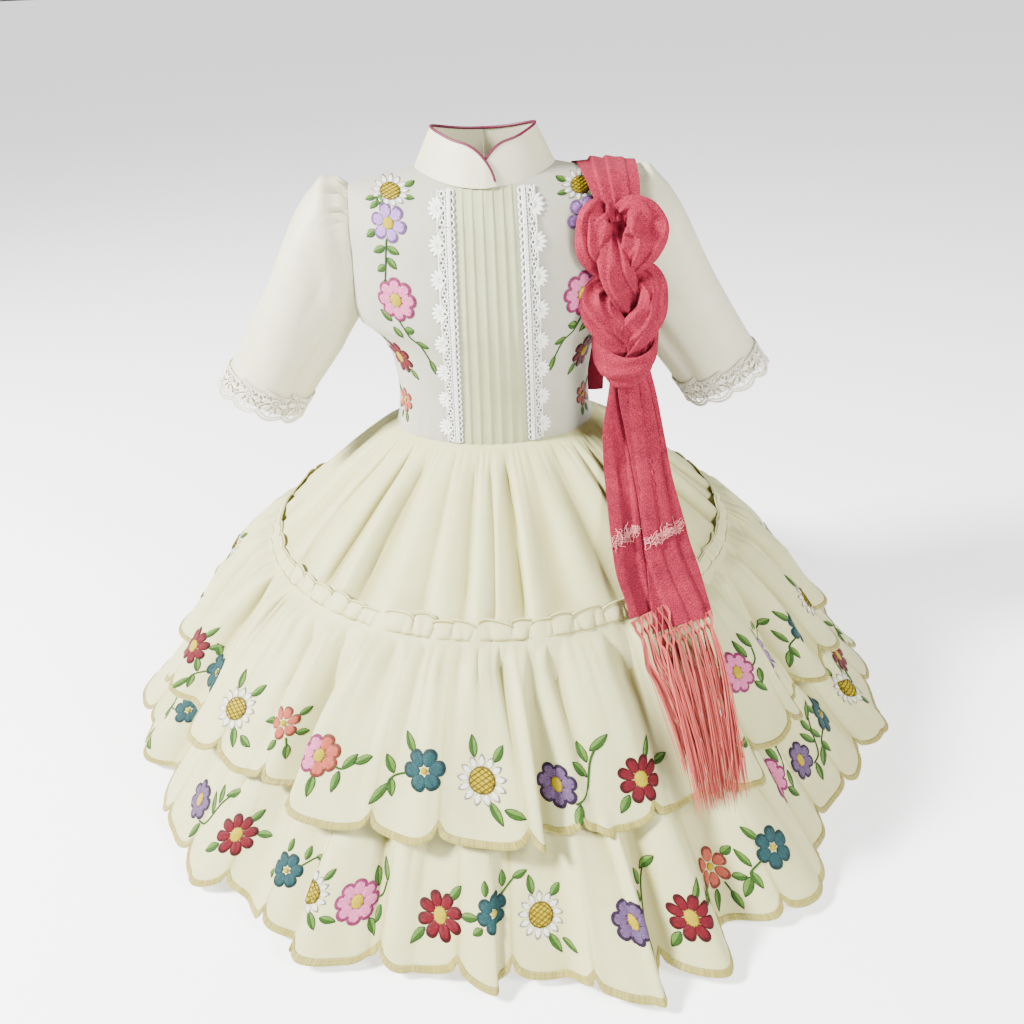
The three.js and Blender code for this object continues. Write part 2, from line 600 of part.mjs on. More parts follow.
for (const [name, end] of Object.entries(ENDS)) {
  const places = [end.from, (end.from + end.to) / 2, end.to];
  const tailCells = stretchCells(REBOZO_TAIL, places);
  const tail = wall(stretch(REBOZO_TAIL), tailCells, end.lift, end.lift + REBOZO_CLOTH, { side: -1 });
  sew(`rebozo_end_${name}`, tail, COLOURS.coral, 0.85);
  const fringeCells = stretchCells(REBOZO_FRINGE, places);
  const spread = end.lift + (end.lift ? 1.5 : 0);
  const fringe = wall(stretch(REBOZO_FRINGE), fringeCells, spread, spread + FRINGE_THICKNESS, { side: -1 });
  sew(`rebozo_fringe_${name}`, fringe, COLOURS.fringe, 0.9);
}

export default dress;
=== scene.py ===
"""The looks of a child's escaramuza riding dress with its rebozo, sewn over its solid model.

Lengths are in millimetres from the waist seam, as in the solid's source, until a mesh is placed.
"""

import math

import bpy
import numpy as np
from mathutils import Euler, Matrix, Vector


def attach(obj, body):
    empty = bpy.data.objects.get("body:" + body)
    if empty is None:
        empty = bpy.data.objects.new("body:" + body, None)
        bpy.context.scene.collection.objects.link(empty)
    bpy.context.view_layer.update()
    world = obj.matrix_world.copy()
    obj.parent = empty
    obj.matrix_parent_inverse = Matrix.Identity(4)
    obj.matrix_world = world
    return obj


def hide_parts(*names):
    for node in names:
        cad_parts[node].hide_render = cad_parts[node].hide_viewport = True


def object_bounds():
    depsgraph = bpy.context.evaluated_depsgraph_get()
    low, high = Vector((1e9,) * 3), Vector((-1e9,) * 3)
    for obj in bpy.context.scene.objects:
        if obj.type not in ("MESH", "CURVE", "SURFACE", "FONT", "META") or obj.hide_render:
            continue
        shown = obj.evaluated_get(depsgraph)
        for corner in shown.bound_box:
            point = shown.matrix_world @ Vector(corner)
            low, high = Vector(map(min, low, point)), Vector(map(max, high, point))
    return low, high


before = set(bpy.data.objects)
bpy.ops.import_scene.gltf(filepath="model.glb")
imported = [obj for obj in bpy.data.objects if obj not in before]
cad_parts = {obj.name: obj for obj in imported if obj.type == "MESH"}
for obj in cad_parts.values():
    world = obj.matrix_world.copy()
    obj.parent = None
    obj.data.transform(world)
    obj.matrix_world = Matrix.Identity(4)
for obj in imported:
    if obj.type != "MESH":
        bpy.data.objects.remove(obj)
solid_box = [list(corner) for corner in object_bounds()]

SHOULDER_HEIGHT = 260.0
CLOTH = 0.8

# ---- Tables of the form, as in the solid's source ----


def table(names, rows):
    return dict(zip(names.split(), np.array(rows, float).T))


NECK = dict(half=66.8, side=259.5, front=246.4, back=252.0)
SHOULDER_TIP = dict(x=132.0, z=246.0)
SHOULDER_ROUND = 55.0
UNDERARM = 115.0
COLLAR = dict(seat=0.8, height=34.0, lean=0.743, corner=32.0, front_radius=60.0, overlap=3.7)
COLLAR_END = dict(over=9.0, under=7.0)
TORSO = table("z half front back", [
    (0, 105, 80, 72), (18, 101, 80, 72), (41, 99.5, 82, 74), (77, 104, 88, 82), (104, 118, 92, 87),
    (115, 133, 93, 88), (135, 139, 93, 88), (160, 143, 91, 88), (215, 143, 80, 75), (246, 143, 68, 62),
    (275, 143, 60, 54)])
ARMHOLE = table("z x", [(115, 133), (135, 133), (175, 131), (215, 131), (246, 132)])
SLEEVE = table("at top_x top_z under_x under_z half y", [
    (0, 132.5, 246, 133.5, 115, 36, 0), (6, 143, 253.5, 137, 110, 38, 0),
    (13, 154, 255, 143, 101.5, 40, -1), (22, 166, 238, 150, 91.5, 41, -2),
    (52, 214, 164, 171, 62, 41, -3), (88, 267, 82, 196, 26, 41, -5),
    (100, 285, 54.4, 204.3, 14.6, 41, -5)])
SKIRT = table("z side front back fold", [
    (-205, 310, 310, 310, 0), (-119, 250, 250, 250, 0), (-65, 192, 186, 182, 6),
    (-20, 137, 120, 114, 4), (0, 105.4, 80.4, 72.4, 0)])
# Each flounce: its seam and hem, its scallops to a half, the first draw and the counts of its gathers, the draw of
# how they lean, and how it stands out from its hem to its seam.
TIERS = {
    "upper": dict(seam=-119.5, hem=-241.0, scallops=18, gathers=(20, 62, 34), leans=9, shape=table("z radius open", [
        (-241, 370, 1), (-180, 312, 0.8), (-133, 265, 0.3), (-119, 251.9, 0)])),
    "lower": dict(seam=-203.5, hem=-334.0, scallops=22, gathers=(30, 80, 42), leans=10, shape=table("z radius open", [
        (-334, 438, 1), (-270, 374, 0.7), (-222, 330, 0.2), (-203.5, 311.2, 0)])),
}
SCALLOP_DEPTH = 10.0
LESS_AT_BACK = 0.08
# The upper flounce's gathered heading: its seam, its edge, how far it goes on below the seam, and its arches.
FRILL = dict(seam=-119.0, edge=-101.0, hidden=-120.4, arches=33)
# Two lines of stitches on it, each with its height and its thread's radius.
FRILL_STITCHES = ((-102.4, 0.42), (-117.4, 0.35))
# Crests and hollows of each flounce at its hem, and how far each leans over its neighbour.
TIERS["upper"]["folds"] = table("angle out lean", [
    (-90, 4, 0), (-80, -9, 0), (-70, 8, 0), (-62, -6, 0), (-54, 4, 0), (-46, 5, 0), (-40, -10, 0),
    (-34.5, -28, 0.8), (-29.5, 13, -2.6), (-20, -6, 0), (-13, 2, 0), (-8, -6, 0), (1, 10, 2.9),
    (5, -22, -0.8), (10.5, 3, 0), (17, -7, 0), (22, 1, 0), (27, -8, 0), (34, 12, 1.6), (41, -16, 0),
    (48, -4, 0), (57, -28, 0), (66, -6, 0), (73, 4, 0), (82, -8, 0), (90, 4, 0)])
TIERS["lower"]["folds"] = table("angle out lean", [
    (-90, 0, 0), (-81, -12, 0), (-73, -16, 0), (-65, -34, 0), (-56, -16, 0), (-50, -16, 0),
    (-45, 1, 0), (-38, -24, 0.5), (-33, -2, 0), (-28, -12, 0.8), (-24, 14, -2.0), (-20, -4, 0),
    (-12, -13, 0), (-5, 6, 2.2), (-1, -5, -0.6), (5, -8, 0), (9, 20, 0), (12.5, 38, 1.6),
    (16, 12, -0.4), (20, 26, 1.8), (27, -12, -0.6), (32, 12, 0), (38, 8, 1.4), (46, -24, 0),
    (53, -34, 0), (60, -22, 0), (66, -16, 0), (72, 0, 0), (81, -10, 0), (90, 0, 0)])
REBOZO_OVER_SHOULDER = table("at x y z half turn", [
    (0, 122, -60, 225, 19, 12), (1, 120, -51, 238, 23, 8), (2, 117, -30, 251.5, 26, 4),
    (3, 116, 0, 255.7, 28, 0), (4, 114, 24, 252.5, 29, 0)])
REBOZO_BACK = table("at x y z half turn", [
    (0, 114, 24.4, 251.9, 29, 0), (1, 113, 46, 238, 29, 0), (2, 110, 63, 214, 28, 0),
    (3, 106, 75, 186, 28, 0), (4, 101, 77, 90, 27, 0), (5, 98, 77, -6, 27, 0)])
REBOZO_TAIL = table("at x y z half turn", [
    (0, 133, -69, 55.6, 21, 14), (1, 136, -70, 10, 31, 20), (2, 139, -80, -20, 37, 28),
    (3, 141, -117, -45, 44, 38), (4, 142, -169, -80, 50, 41), (5, 147, -196, -100, 48, 39),
    (6, 153, -221, -117, 47, 37), (7, 157, -242, -131, 46, 35)])
REBOZO_FRINGE = table("at x y z half turn", [
    (0, 157, -242.4, -131.3, 46, 35), (1, 161, -275, -152, 44, 32),
    (2, 164, -314, -188, 42, 29), (3, 167, -352, -240, 41, 27)])


def mix(a, b, share):
    return a + (b - a) * share


def ease(share):
    return (1 - np.cos(np.pi * np.clip(share, 0, 1))) / 2


def unit(ways):
    return ways / np.maximum(np.linalg.norm(ways, axis=-1, keepdims=True), 1e-12)


def run_of(path):
    """How far along a path each of its places lies."""
    return np.concatenate([[0], np.cumsum(np.linalg.norm(np.diff(path, axis=0), axis=1))])


def finer(path, steps):
    """The same path with so many steps from each of its places to the next."""
    last = len(path) - 1
    runs = np.linspace(0, last, steps * last + 1)
    return np.stack([np.interp(runs, np.arange(last + 1), column) for column in path.T], 1)


def soften(path, times):
    """Draws each place but the two ends towards its neighbours."""
    for _ in range(times):
        path[1:-1] = (path[:-2] + 2 * path[1:-1] + path[2:]) / 4


def read(rows, column, at, by="z"):
    """A smooth value from one column of a table, where another column reaches a given number."""
    x, y = rows[by], rows[column]
    at = np.asarray(at, float)
    slope = np.diff(y) / np.diff(x)
    tangent = np.concatenate([slope[:1], np.zeros(len(x) - 2), slope[-1:]])
    same = slope[:-1] * slope[1:] > 0
    total = np.where(same, slope[:-1] + slope[1:], 1)
    tangent[1:-1] = np.where(same, 2 * slope[:-1] * slope[1:] / total, 0)
    i = np.clip(np.searchsorted(x, at, side="right") - 1, 0, len(x) - 2)
    step = x[i + 1] - x[i]
    s = np.clip((at - x[i]) / step, 0, 1)
    inside = mix(y[i], y[i + 1], s * s * (3 - 2 * s)) + step * (
        s * (1 - s) ** 2 * tangent[i] - s * s * (1 - s) * tangent[i + 1])
    beyond = np.minimum(at - x[0], 0) * tangent[0] + np.maximum(at - x[-1], 0) * tangent[-1]
    return inside + beyond


def wander(angle, seed, low, high, count=6):
    """An uneven wave round the dress, the same each run, between -1 and 1."""
    dice = np.random.default_rng(seed)
    turns = dice.integers(low, high + 1, count)
    starts = dice.uniform(0, 2 * np.pi, count)
    a = np.radians(np.asarray(angle, float))
    return sum(np.sin(k * a + s) for k, s in zip(turns, starts)) / math.sqrt(count)


def pleats(angle, count, seed, sharp=0.65):
    """Folds round the dress, broad on their ridges and narrow in their valleys: 0 on a ridge, up to 1 in a valley."""
    phase = count / 2 * np.radians(np.asarray(angle, float))
    phase = phase + 0.85 * wander(angle, seed, count // 6, count // 3, 5) + 0.5 * wander(angle, seed + 1, 2, 5, 3)
    uneven = np.clip(0.72 + 0.4 * wander(angle, seed + 2, count // 5, count // 3, 5), 0.2, 1)
    return (1 - np.abs(np.sin(phase)) ** sharp) * uneven


def leaning(angle, seed):
    """Which way the folds fall over: -1 or 1, changing a few times round the dress."""
    return np.tanh(3 * wander(angle, seed, 2, 6, 3))


# ---- Surfaces: each gives points for arrays of its two numbers ----


def points(x, y, z):
    return np.stack(np.broadcast_arrays(x, y, z), -1).astype(float)


def shoulder_line(x):
    """The height of the shoulder seam, falling from the neck to the shoulder's tip."""
    fall = (NECK["side"] - SHOULDER_TIP["z"]) / (SHOULDER_TIP["x"] - NECK["half"])
    return NECK["side"] - (np.abs(x) - NECK["half"]) * fall


def torso(angle, z, face):
    """The body of the front, face -1, or the back, face 1: its angle is 0 in the middle and 90 at the side seam."""
    x = read(TORSO, "half", z) * np.sin(np.radians(angle))
    below = np.clip((shoulder_line(x) - z) / SHOULDER_ROUND, 0, 1)
    depth = read(TORSO, "front" if face < 0 else "back", z)
    y = face * depth * np.cos(np.radians(angle)) * np.sqrt(1 - (1 - below) ** 2)
    return points(x, y, z)


def angle_of(x, z):
    """The torso's angle at a distance from its middle."""
    return np.degrees(np.arcsin(np.clip(x / read(TORSO, "half", z), -1, 1)))


def outer_angle(z):
    """Where the bodice ends: at its side seam, and above the underarm at the armhole."""
    return np.where(z <= UNDERARM, 90, angle_of(read(ARMHOLE, "x", z), z))


def top_edge(x, face):
    """The height of the neckline, and beyond it of the shoulder seam."""
    x = np.abs(x)
    level = NECK["front"] if face < 0 else NECK["back"]
    neck = level + (NECK["side"] - level) * (x / NECK["half"]) ** 2
    return np.where(x >= NECK["half"], shoulder_line(x), neck)


def panel_edge(z):
    """Half the width of the centre panel."""
    return mix(31.5, 27.5, np.asarray(z) / NECK["front"])


def bodice_relief(angle, z, face):
    """Soft drags in the bodice cloth, from the armhole and over the waist, that end before the side seam."""
    side = np.clip((np.abs(angle) - 28) / 40, 0, 1)
    drag = np.sin(0.075 * z + 0.05 * np.abs(angle) + 1.0)
    waist = np.exp(-((z - 6) / 16) ** 2)
    folds = np.sin(0.16 * z - 0.11 * np.abs(angle) + (0.4 if face < 0 else 1.7))
    relief = 1.2 * side * drag * np.clip(z / 40, 0, 1) + 0.8 * side * folds + 0.7 * waist * wander(angle, 3, 20, 44)
    return relief * np.clip(1 - (np.abs(angle) - 78) / 12, 0, 1)


def front(angle, z):
    p = torso(angle, z, -1)
    p[..., 1] -= bodice_relief(angle, z, -1)
    return p


# Where the centre panel's tucks lie and how wide they are, as shares of its half width.
TUCKS = (-0.78, -0.46, -0.12, 0.22, 0.56, 0.86)
TUCK_WIDTH = 0.045


def tucked(angle, z):
    """The centre panel: six narrow tucks 1 mm high, each rising slowly to its lip and dropping at once."""
    p = torso(angle, z, -1)
    share = p[..., 0] / panel_edge(z)
    for tuck in TUCKS:
        lip = (share - tuck) / TUCK_WIDTH
        p[..., 1] -= np.exp(-np.maximum(lip, 0) ** 2 * 5 - np.maximum(-lip, 0) ** 2 * 0.22)
    return p


def back(angle, z):
    p = torso(-angle, z, 1)
    p[..., 1] += bodice_relief(angle, z, 1)
    return p


def collar(turn, share, lift=0.0):
    """The stand collar: its turn is 0 in the middle of the front, and its share goes from the seam to the top edge."""
    x = NECK["half"] * np.sin(np.radians(turn))
    inner_x = np.minimum(np.abs(x), NECK["half"] - 1e-6)
    facing = np.cos(np.radians(turn)) >= 0
    z = np.where(facing, top_edge(inner_x, -1), top_edge(inner_x, 1))
    base = np.where(facing[..., None], torso(angle_of(x, z), z, -1), torso(angle_of(x, z), z, 1))
    lean = mix(1, COLLAR["lean"], share) * (1 + lift / NECK["half"])
    drape = 0.7 * np.sin(np.radians(turn) * 9 + 2.2 * share) * share * np.exp(-((np.abs(turn) - 38) / 26) ** 2)
    lean = lean * (1 + drape / NECK["half"])
    return points(base[..., 0] * lean, base[..., 1] * lean, z + COLLAR["seat"] + share * COLLAR["height"])


def armhole(turn):
    """The armhole's edge: its turn is 0 at the underarm, 90 in front and 180 at the shoulder."""
    z = mix(UNDERARM, SHOULDER_TIP["z"], (1 - np.cos(np.radians(turn))) / 2)
    angle = outer_angle(z + 1e-9)
    ahead = np.sin(np.radians(turn)) >= 0
    return np.where(ahead[..., None], torso(angle, z, -1), torso(angle, z, 1))


def sleeve(turn, at):
    """The left sleeve: its turn is the armhole's, and it goes from 0 at its cap to 100 at its hem."""
    turn, at = np.broadcast_arrays(np.asarray(turn, float), np.asarray(at, float))
    cos, sin = np.cos(np.radians(turn)), np.sin(np.radians(turn))

    def oval(a):
        row = lambda column: read(SLEEVE, column, a, "at")
        half = row("half")
        return points(mix(row("top_x"), row("under_x"), (1 + cos) / 2), row("y") - half * sin,
                      mix(row("top_z"), row("under_z"), (1 + cos) / 2))

    fit = armhole(turn) - oval(np.zeros_like(at))
    fit[..., 0] += 0.5
    p = oval(at) + fit * (1 - ease(at / 20))[..., None]
    out = points(-0.3 * cos, -sin, -0.95 * cos)
    above = np.clip(-cos * 1.4, 0, 1)
    cap = (0.8 - 2.8 * pleats(turn, 58, 50)) * np.exp(-((at - 4) / 9) ** 2) * above * np.clip(at / 1.5, 0, 1)
    rounded = 8.0 * np.exp(-((at - 33) / 17) ** 2) * above - 4.0 * np.exp(-((at - 10) / 8) ** 2) * above
    low = np.degrees(np.arccos(np.clip(cos, -1, 1)))
    drag = np.exp(-((low - 46 - 0.1 * at) / 9) ** 2) * ease((at - 8) / 22) * (sin > 0)
    soft = np.sin(np.radians(turn * 2) + at * 0.055) * ease((at - 12) / 20)
    relief = 2.4 * cap + rounded - 5.5 * drag * ease((98 - at) / 26) + 1.6 * soft
    return p + out * relief[..., None]


def skirt(angle, z):
    """The gathered skirt under its flounces: its angle is 0 in the middle of the front."""
    angle, z = np.broadcast_arrays(np.asarray(angle, float), np.asarray(z, float))
    uneven = 25 * np.sin(np.radians(3 * angle + 40))
    below = -z
    fold = read(SKIRT, "fold", z) * np.cos(np.radians(18 * angle + uneven)) * 0.6
    drawn = angle + 1.2 * wander(angle, 13, 4, 9, 3) * below / 100
    strong = np.clip(0.75 + 0.35 * wander(drawn, 15, 3, 8, 3), 0.3, 1)
    long = pleats(drawn, 30, 11, 0.8) * ease(below / 26) * ease((135 - below) / 40) * strong
    fold = fold + 4.0 - 17.0 * long + 3.0 * wander(drawn, 14, 20, 34) * ease(below / 60) * ease((125 - below) / 30)
    fold = fold - 4.2 * (pleats(drawn, 84, 17) - 0.3) * np.clip(below / 7, 0, 1) * np.exp(-below / 24)
    fold = fold * np.clip(below / 4, 0, 1)
    turned = np.radians(angle + 2.3 * long * leaning(angle, 19) * ease(below / 60))
    sin, cos = np.sin(turned), np.cos(turned)
    depth = np.where(cos > 0, read(SKIRT, "front", z), read(SKIRT, "back", z))
    return points((read(SKIRT, "side", z) + fold) * sin, -(depth + fold) * cos, z)


def fold_at(folds, column, angle):
    """A flounce's crest or hollow at an angle: the back half is the front half seen in a mirror."""
    turned = (np.asarray(angle, float) + 90) % 360
    around = np.where(turned > 180, 270 - turned, turned - 90)
    mirror = np.where((turned > 180) & (column == "lean"), -1, 1)
    x, y = folds["angle"], folds[column]
    i = np.clip(np.searchsorted(x, around) - 1, 0, len(x) - 2)
    return mirror * mix(y[i], y[i + 1], ease((around - x[i]) / (x[i + 1] - x[i])))


def gathers_of(tier, angle, below):
    """How far a flounce falls in at its gathers, from the seam down, and a soft wave that stays to the hem."""
    seed, many, few = TIERS[tier]["gathers"]
    drawn = angle + 1.6 * wander(angle, seed + 2, 6, 13, 3) * ease(below / 110)
    from_seam = np.clip(below / 3, 0, 1)
    small = 7.5 * pleats(drawn, 2 * many, seed, 0.8) * from_seam * np.exp(-below / 22)
    middle = 8.0 * pleats(drawn, many, seed + 5, 0.8) * from_seam * np.exp(-(below / 62) ** 2)
    fading = 0.27 + 0.73 * np.exp(-(below / 78) ** 2)
    long = 24.0 * pleats(drawn, few, seed + 3, 0.9) * np.clip(below / 12, 0, 1) * fading
    return small + middle + long, 3.0 + 4.6 * wander(drawn, seed + 7, 20, 34) * ease(below / 45)


def flounce_radius(tier, angle, z):
    """How far a flounce stands out: its crests at the hem, and the gathers that run down from its seam."""
    form = TIERS[tier]
    opened = np.maximum(read(form["shape"], "open", z), 0)
    below = form["seam"] - np.asarray(z, float)
    seam = form["shape"]["radius"][-1]
    less = 1 - LESS_AT_BACK * (1 - np.cos(np.radians(angle))) ** 2 / 4
    gathers, soft = gathers_of(tier, angle, below)
    free = read(form["shape"], "radius", z) + fold_at(form["folds"], "out", angle) * opened
    radius = seam + (free - seam) * less + (soft - gathers) * ease(below / 8)
    if tier == "lower":
        return radius + 7.0 * ease(below / 13) * ease((118 - below) / 70)
    radius = radius + 2.4 * ease(below / 16) + 12.0 * ease(below / 13) * ease((115 - below) / 70)
    # The upper flounce stays outside the skirt and the lower flounce, with a soft step where it would meet them.
    lower_seam = TIERS["lower"]["seam"]
    skirt_under = read(SKIRT, "side", z) + 2.2 + ease(below / 12)
    tier_under = flounce_radius("lower", angle, np.minimum(z, lower_seam)) + 3.5
    under = mix(skirt_under, tier_under, ease((lower_seam + 6 - z) / 9))
    return under + np.logaddexp(0, (radius - under) * 1.2) / 1.2


def flounce(tier):
    form = TIERS[tier]

    def surface(angle, z):
        angle, z = np.broadcast_arrays(np.asarray(angle, float), np.asarray(z, float))
        opened = np.maximum(read(form["shape"], "open", z), 0)
        radius = flounce_radius(tier, angle, z)
        long = gathers_of(tier, angle, form["seam"] - z)[0] / 16
        over = 1.3 * long * leaning(angle, form["leans"])
        turned = np.radians(angle + over + fold_at(form["folds"], "lean", angle) * opened)
        return points(radius * np.sin(turned), -radius * np.cos(turned), z)

    return surface


def hem_height(tier, angle):
    form = TIERS[tier]
    pitch = 180 / form["scallops"]
    along = ((np.asarray(angle, float) + 90) / pitch) % 1
    return form["hem"] + SCALLOP_DEPTH * (0.62 - 1.24 * np.sqrt(np.clip(4 * along * (1 - along), 0, 1)) ** 0.9)


def frill(angle, z):
    """The gathered heading above the flounce's seam: arches that flare out to their edge, pinched in between."""
    angle, z = np.broadcast_arrays(np.asarray(angle, float), np.asarray(z, float))
    up = np.clip((z - FRILL["seam"]) / (FRILL["edge"] - FRILL["seam"]), 0, 1)
    phase = FRILL["arches"] * np.radians(angle) + 0.8 * wander(angle, 41, 9, 19, 5) + 0.5 * wander(angle, 42, 2, 5, 3)
    arch = np.abs(np.sin(phase)) ** 0.85 * np.clip(0.74 + 0.35 * wander(angle, 43, 11, 25, 5), 0.6, 1.1)
    height = z + up ** 1.3 * (wander(angle, 45, 30, 60, 5) + 11.5 * arch - 10.5)
    bulge = np.sin(np.pi * up ** 0.6)
    stand = 1.0 + 8.0 * arch * up ** 2.2 + bulge * (2.2 + 3.6 * arch - 3.2 * pleats(angle, 124, 46))
    radius = read(SKIRT, "side", np.maximum(height, FRILL["seam"])) + np.maximum(stand, 0.7)
    turned = np.radians(angle - 1.3 * up ** 1.5 * np.sin(2 * phase))
    return points(radius * np.sin(turned), -radius * np.cos(turned), height)


def normals(surface, a, b):
    """Which way the surface faces at each of its places."""
    step = 0.02
    across = surface(a + step, b) - surface(a - step, b)
    along = surface(a, b + step) - surface(a, b - step)
    return unit(np.cross(across, along))


# ---- Making and finishing pieces ----


def alone(piece):
    bpy.ops.object.select_all(action="DESELECT")
    piece.select_set(True)
    bpy.context.view_layer.objects.active = piece


def read_points(piece):
    where = np.empty(len(piece.data.vertices) * 3, np.float32)
    piece.data.vertices.foreach_get("co", where)
    return where.reshape(-1, 3).astype(float)


def write_points(piece, where):
    piece.data.vertices.foreach_set("co", np.asarray(where, np.float32).ravel())
    piece.data.update()


def write_uv(piece, uv):
    """Gives each face's corners the UV of their points."""
    corners = np.empty(len(piece.data.loops), np.int32)
    piece.data.loops.foreach_get("vertex_index", corners)
    piece.data.uv_layers[0].data.foreach_set("uv", uv[corners].astype(np.float32).ravel())


def place(piece, where):
    """Moves a piece's points to places given in millimetres from the waist."""
    write_points(piece, (np.asarray(where, float).reshape(-1, 3) - (0, 0, SHOULDER_HEIGHT)) / 1000)


def new_grid(rows, columns):
    """A flat grid with so many rows and columns of points, to be moved to their places."""
    bpy.ops.object.select_all(action="DESELECT")
    bpy.ops.mesh.primitive_grid_add(x_subdivisions=columns - 1, y_subdivisions=rows - 1, size=2)
    return bpy.context.object


def copy_of(piece):
    copy = piece.copy()
    copy.data = piece.data.copy()
    bpy.context.scene.collection.objects.link(copy)
    return copy


def apply(piece, kind, **settings):
    alone(piece)
    modifier = piece.modifiers.new(kind.title(), kind)
    for key, value in settings.items():
        setattr(modifier, key, value)
    bpy.ops.object.modifier_apply(modifier=modifier.name)


def in_edit(piece, work):
    alone(piece)
    bpy.ops.object.mode_set(mode="EDIT")
    bpy.ops.mesh.select_all(action="SELECT")
    work()
    bpy.ops.object.mode_set(mode="OBJECT")


def smooth(piece, degrees=50):
    alone(piece)
    bpy.ops.object.shade_smooth_by_angle(angle=math.radians(degrees))


def spread_grid(name, where, joined=False):
    """A grid of cloth through an array of places, its UV in metres along the two ways of the cloth."""
    rows, columns = where.shape[:2]
    piece = new_grid(rows, columns)
    piece.name = piece.data.name = name
    place(piece, where)
    u, v = np.meshgrid(run_of(where[rows // 2]) / 1000, run_of(where[:, columns // 2]) / 1000)
    write_uv(piece, np.stack([u.ravel(), v.ravel()], 1))
    if joined:
        in_edit(piece, lambda: bpy.ops.mesh.remove_doubles(threshold=0.00002))
    return piece


def mark_painted_fold_shade(piece, where, columns, deep):
    """Notes at each point how far it lies inside the cloth round it, as the mask for painted shade in the folds: 0 on
    a crest, 1 in a fold of the full depth.
    """
    out = np.hypot(where[..., 0], where[..., 1])
    kernel = np.hanning(2 * columns + 3)[1:-1]
    kernel = kernel / kernel.sum()
    round_it = np.stack([np.convolve(np.pad(row, columns, mode="edge"), kernel, "valid") for row in out])
    inside = ease((round_it - out + 0.12 * deep) / deep)
    piece.data.attributes.new("fold", "FLOAT", "POINT").data.foreach_set("value", inside.ravel().astype(np.float32))


def cloth(name, surface, a, b, thickness=CLOTH, joined=False, side=1, above=0.0, folds=None):
    """A sheet of cloth whose outer face lies on the surface at rows of places a, b."""
    a, b = np.broadcast_arrays(np.asarray(a, float), np.asarray(b, float))
    where = surface(a, b)
    if above:
        where = where + normals(surface, a, b) * above * side
    piece = spread_grid(name, where, joined)
    # Where folds are given, the points get the mask of painted shade: how far each lies inside the cloth round it.
    if folds:
        mark_painted_fold_shade(piece, where, *folds)
    if side < 0:
        in_edit(piece, lambda: bpy.ops.mesh.flip_normals())
    apply(piece, "SOLIDIFY", thickness=thickness / 1000, offset=-1, use_quality_normals=True)
    smooth(piece)
    return piece


def mirror_copy(piece, name):
    copy = copy_of(piece)
    copy.name = copy.data.name = name
    write_points(copy, read_points(copy) * (-1, 1, 1))
    in_edit(copy, lambda: bpy.ops.mesh.flip_normals())
    return copy


def join(name, pieces):
    """Many pieces made into one, which takes the name."""
    bpy.ops.object.select_all(action="DESELECT")
    for piece in pieces:
        piece.select_set(True)
    bpy.context.view_layer.objects.active = pieces[0]
    bpy.ops.object.join()
    pieces[0].name = pieces[0].data.name = name
    return pieces[0]


def finish(piece, material, slot, *nodes):
    """Gives a piece its cloth or thread, rides it on the dress, and hides the parts of the solid that it stands for;
    its slot is not used.
    """
    if material:
        piece.data.materials.clear()
        piece.data.materials.append(material)
        piece.data.polygons.foreach_set("material_index", [0] * len(piece.data.polygons))
    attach(piece, "root")
    if nodes:
        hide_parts(*nodes)


# ---- Finishes ----

# Half a turn in radians, for the waves that run across a thread.
HALF_TURN = 3.14159


def node(tree, kind, inputs=None, **settings):
    """A new node, its inputs each joined to another node or given a value."""
    made = tree.nodes.new(kind)
    for key, value in settings.items():
        setattr(made, key, value)
    for key, value in (inputs or {}).items():
        if isinstance(value, bpy.types.NodeSocket):
            tree.links.new(value, made.inputs[key])
        else:
            made.inputs[key].default_value = value
    return made


def set_inputs(owner, values):
    for key, value in values.items():
        owner.inputs[key].default_value = value


def maths(tree, operation, first, second=0.0):
    return node(tree, "ShaderNodeMath", {0: first, 1: second}, operation=operation).outputs[0]


def new_group(name, ins, outs):
    """A group of nodes with numbers going in and numbers coming out."""
    group = bpy.data.node_groups.new(name, "ShaderNodeTree")
    for way, sockets in (("INPUT", ins), ("OUTPUT", outs)):
        for socket in sockets:
            group.interface.new_socket(socket, in_out=way, socket_type="NodeSocketFloat")
    start = group.nodes.new("NodeGroupInput")
    end = group.nodes.new("NodeGroupOutput")
    return group, start, end


def thread_wave(group, threads):
    """A wave that rises or falls once for each thread."""
    return maths(group, "SINE", maths(group, "MULTIPLY", threads, HALF_TURN))


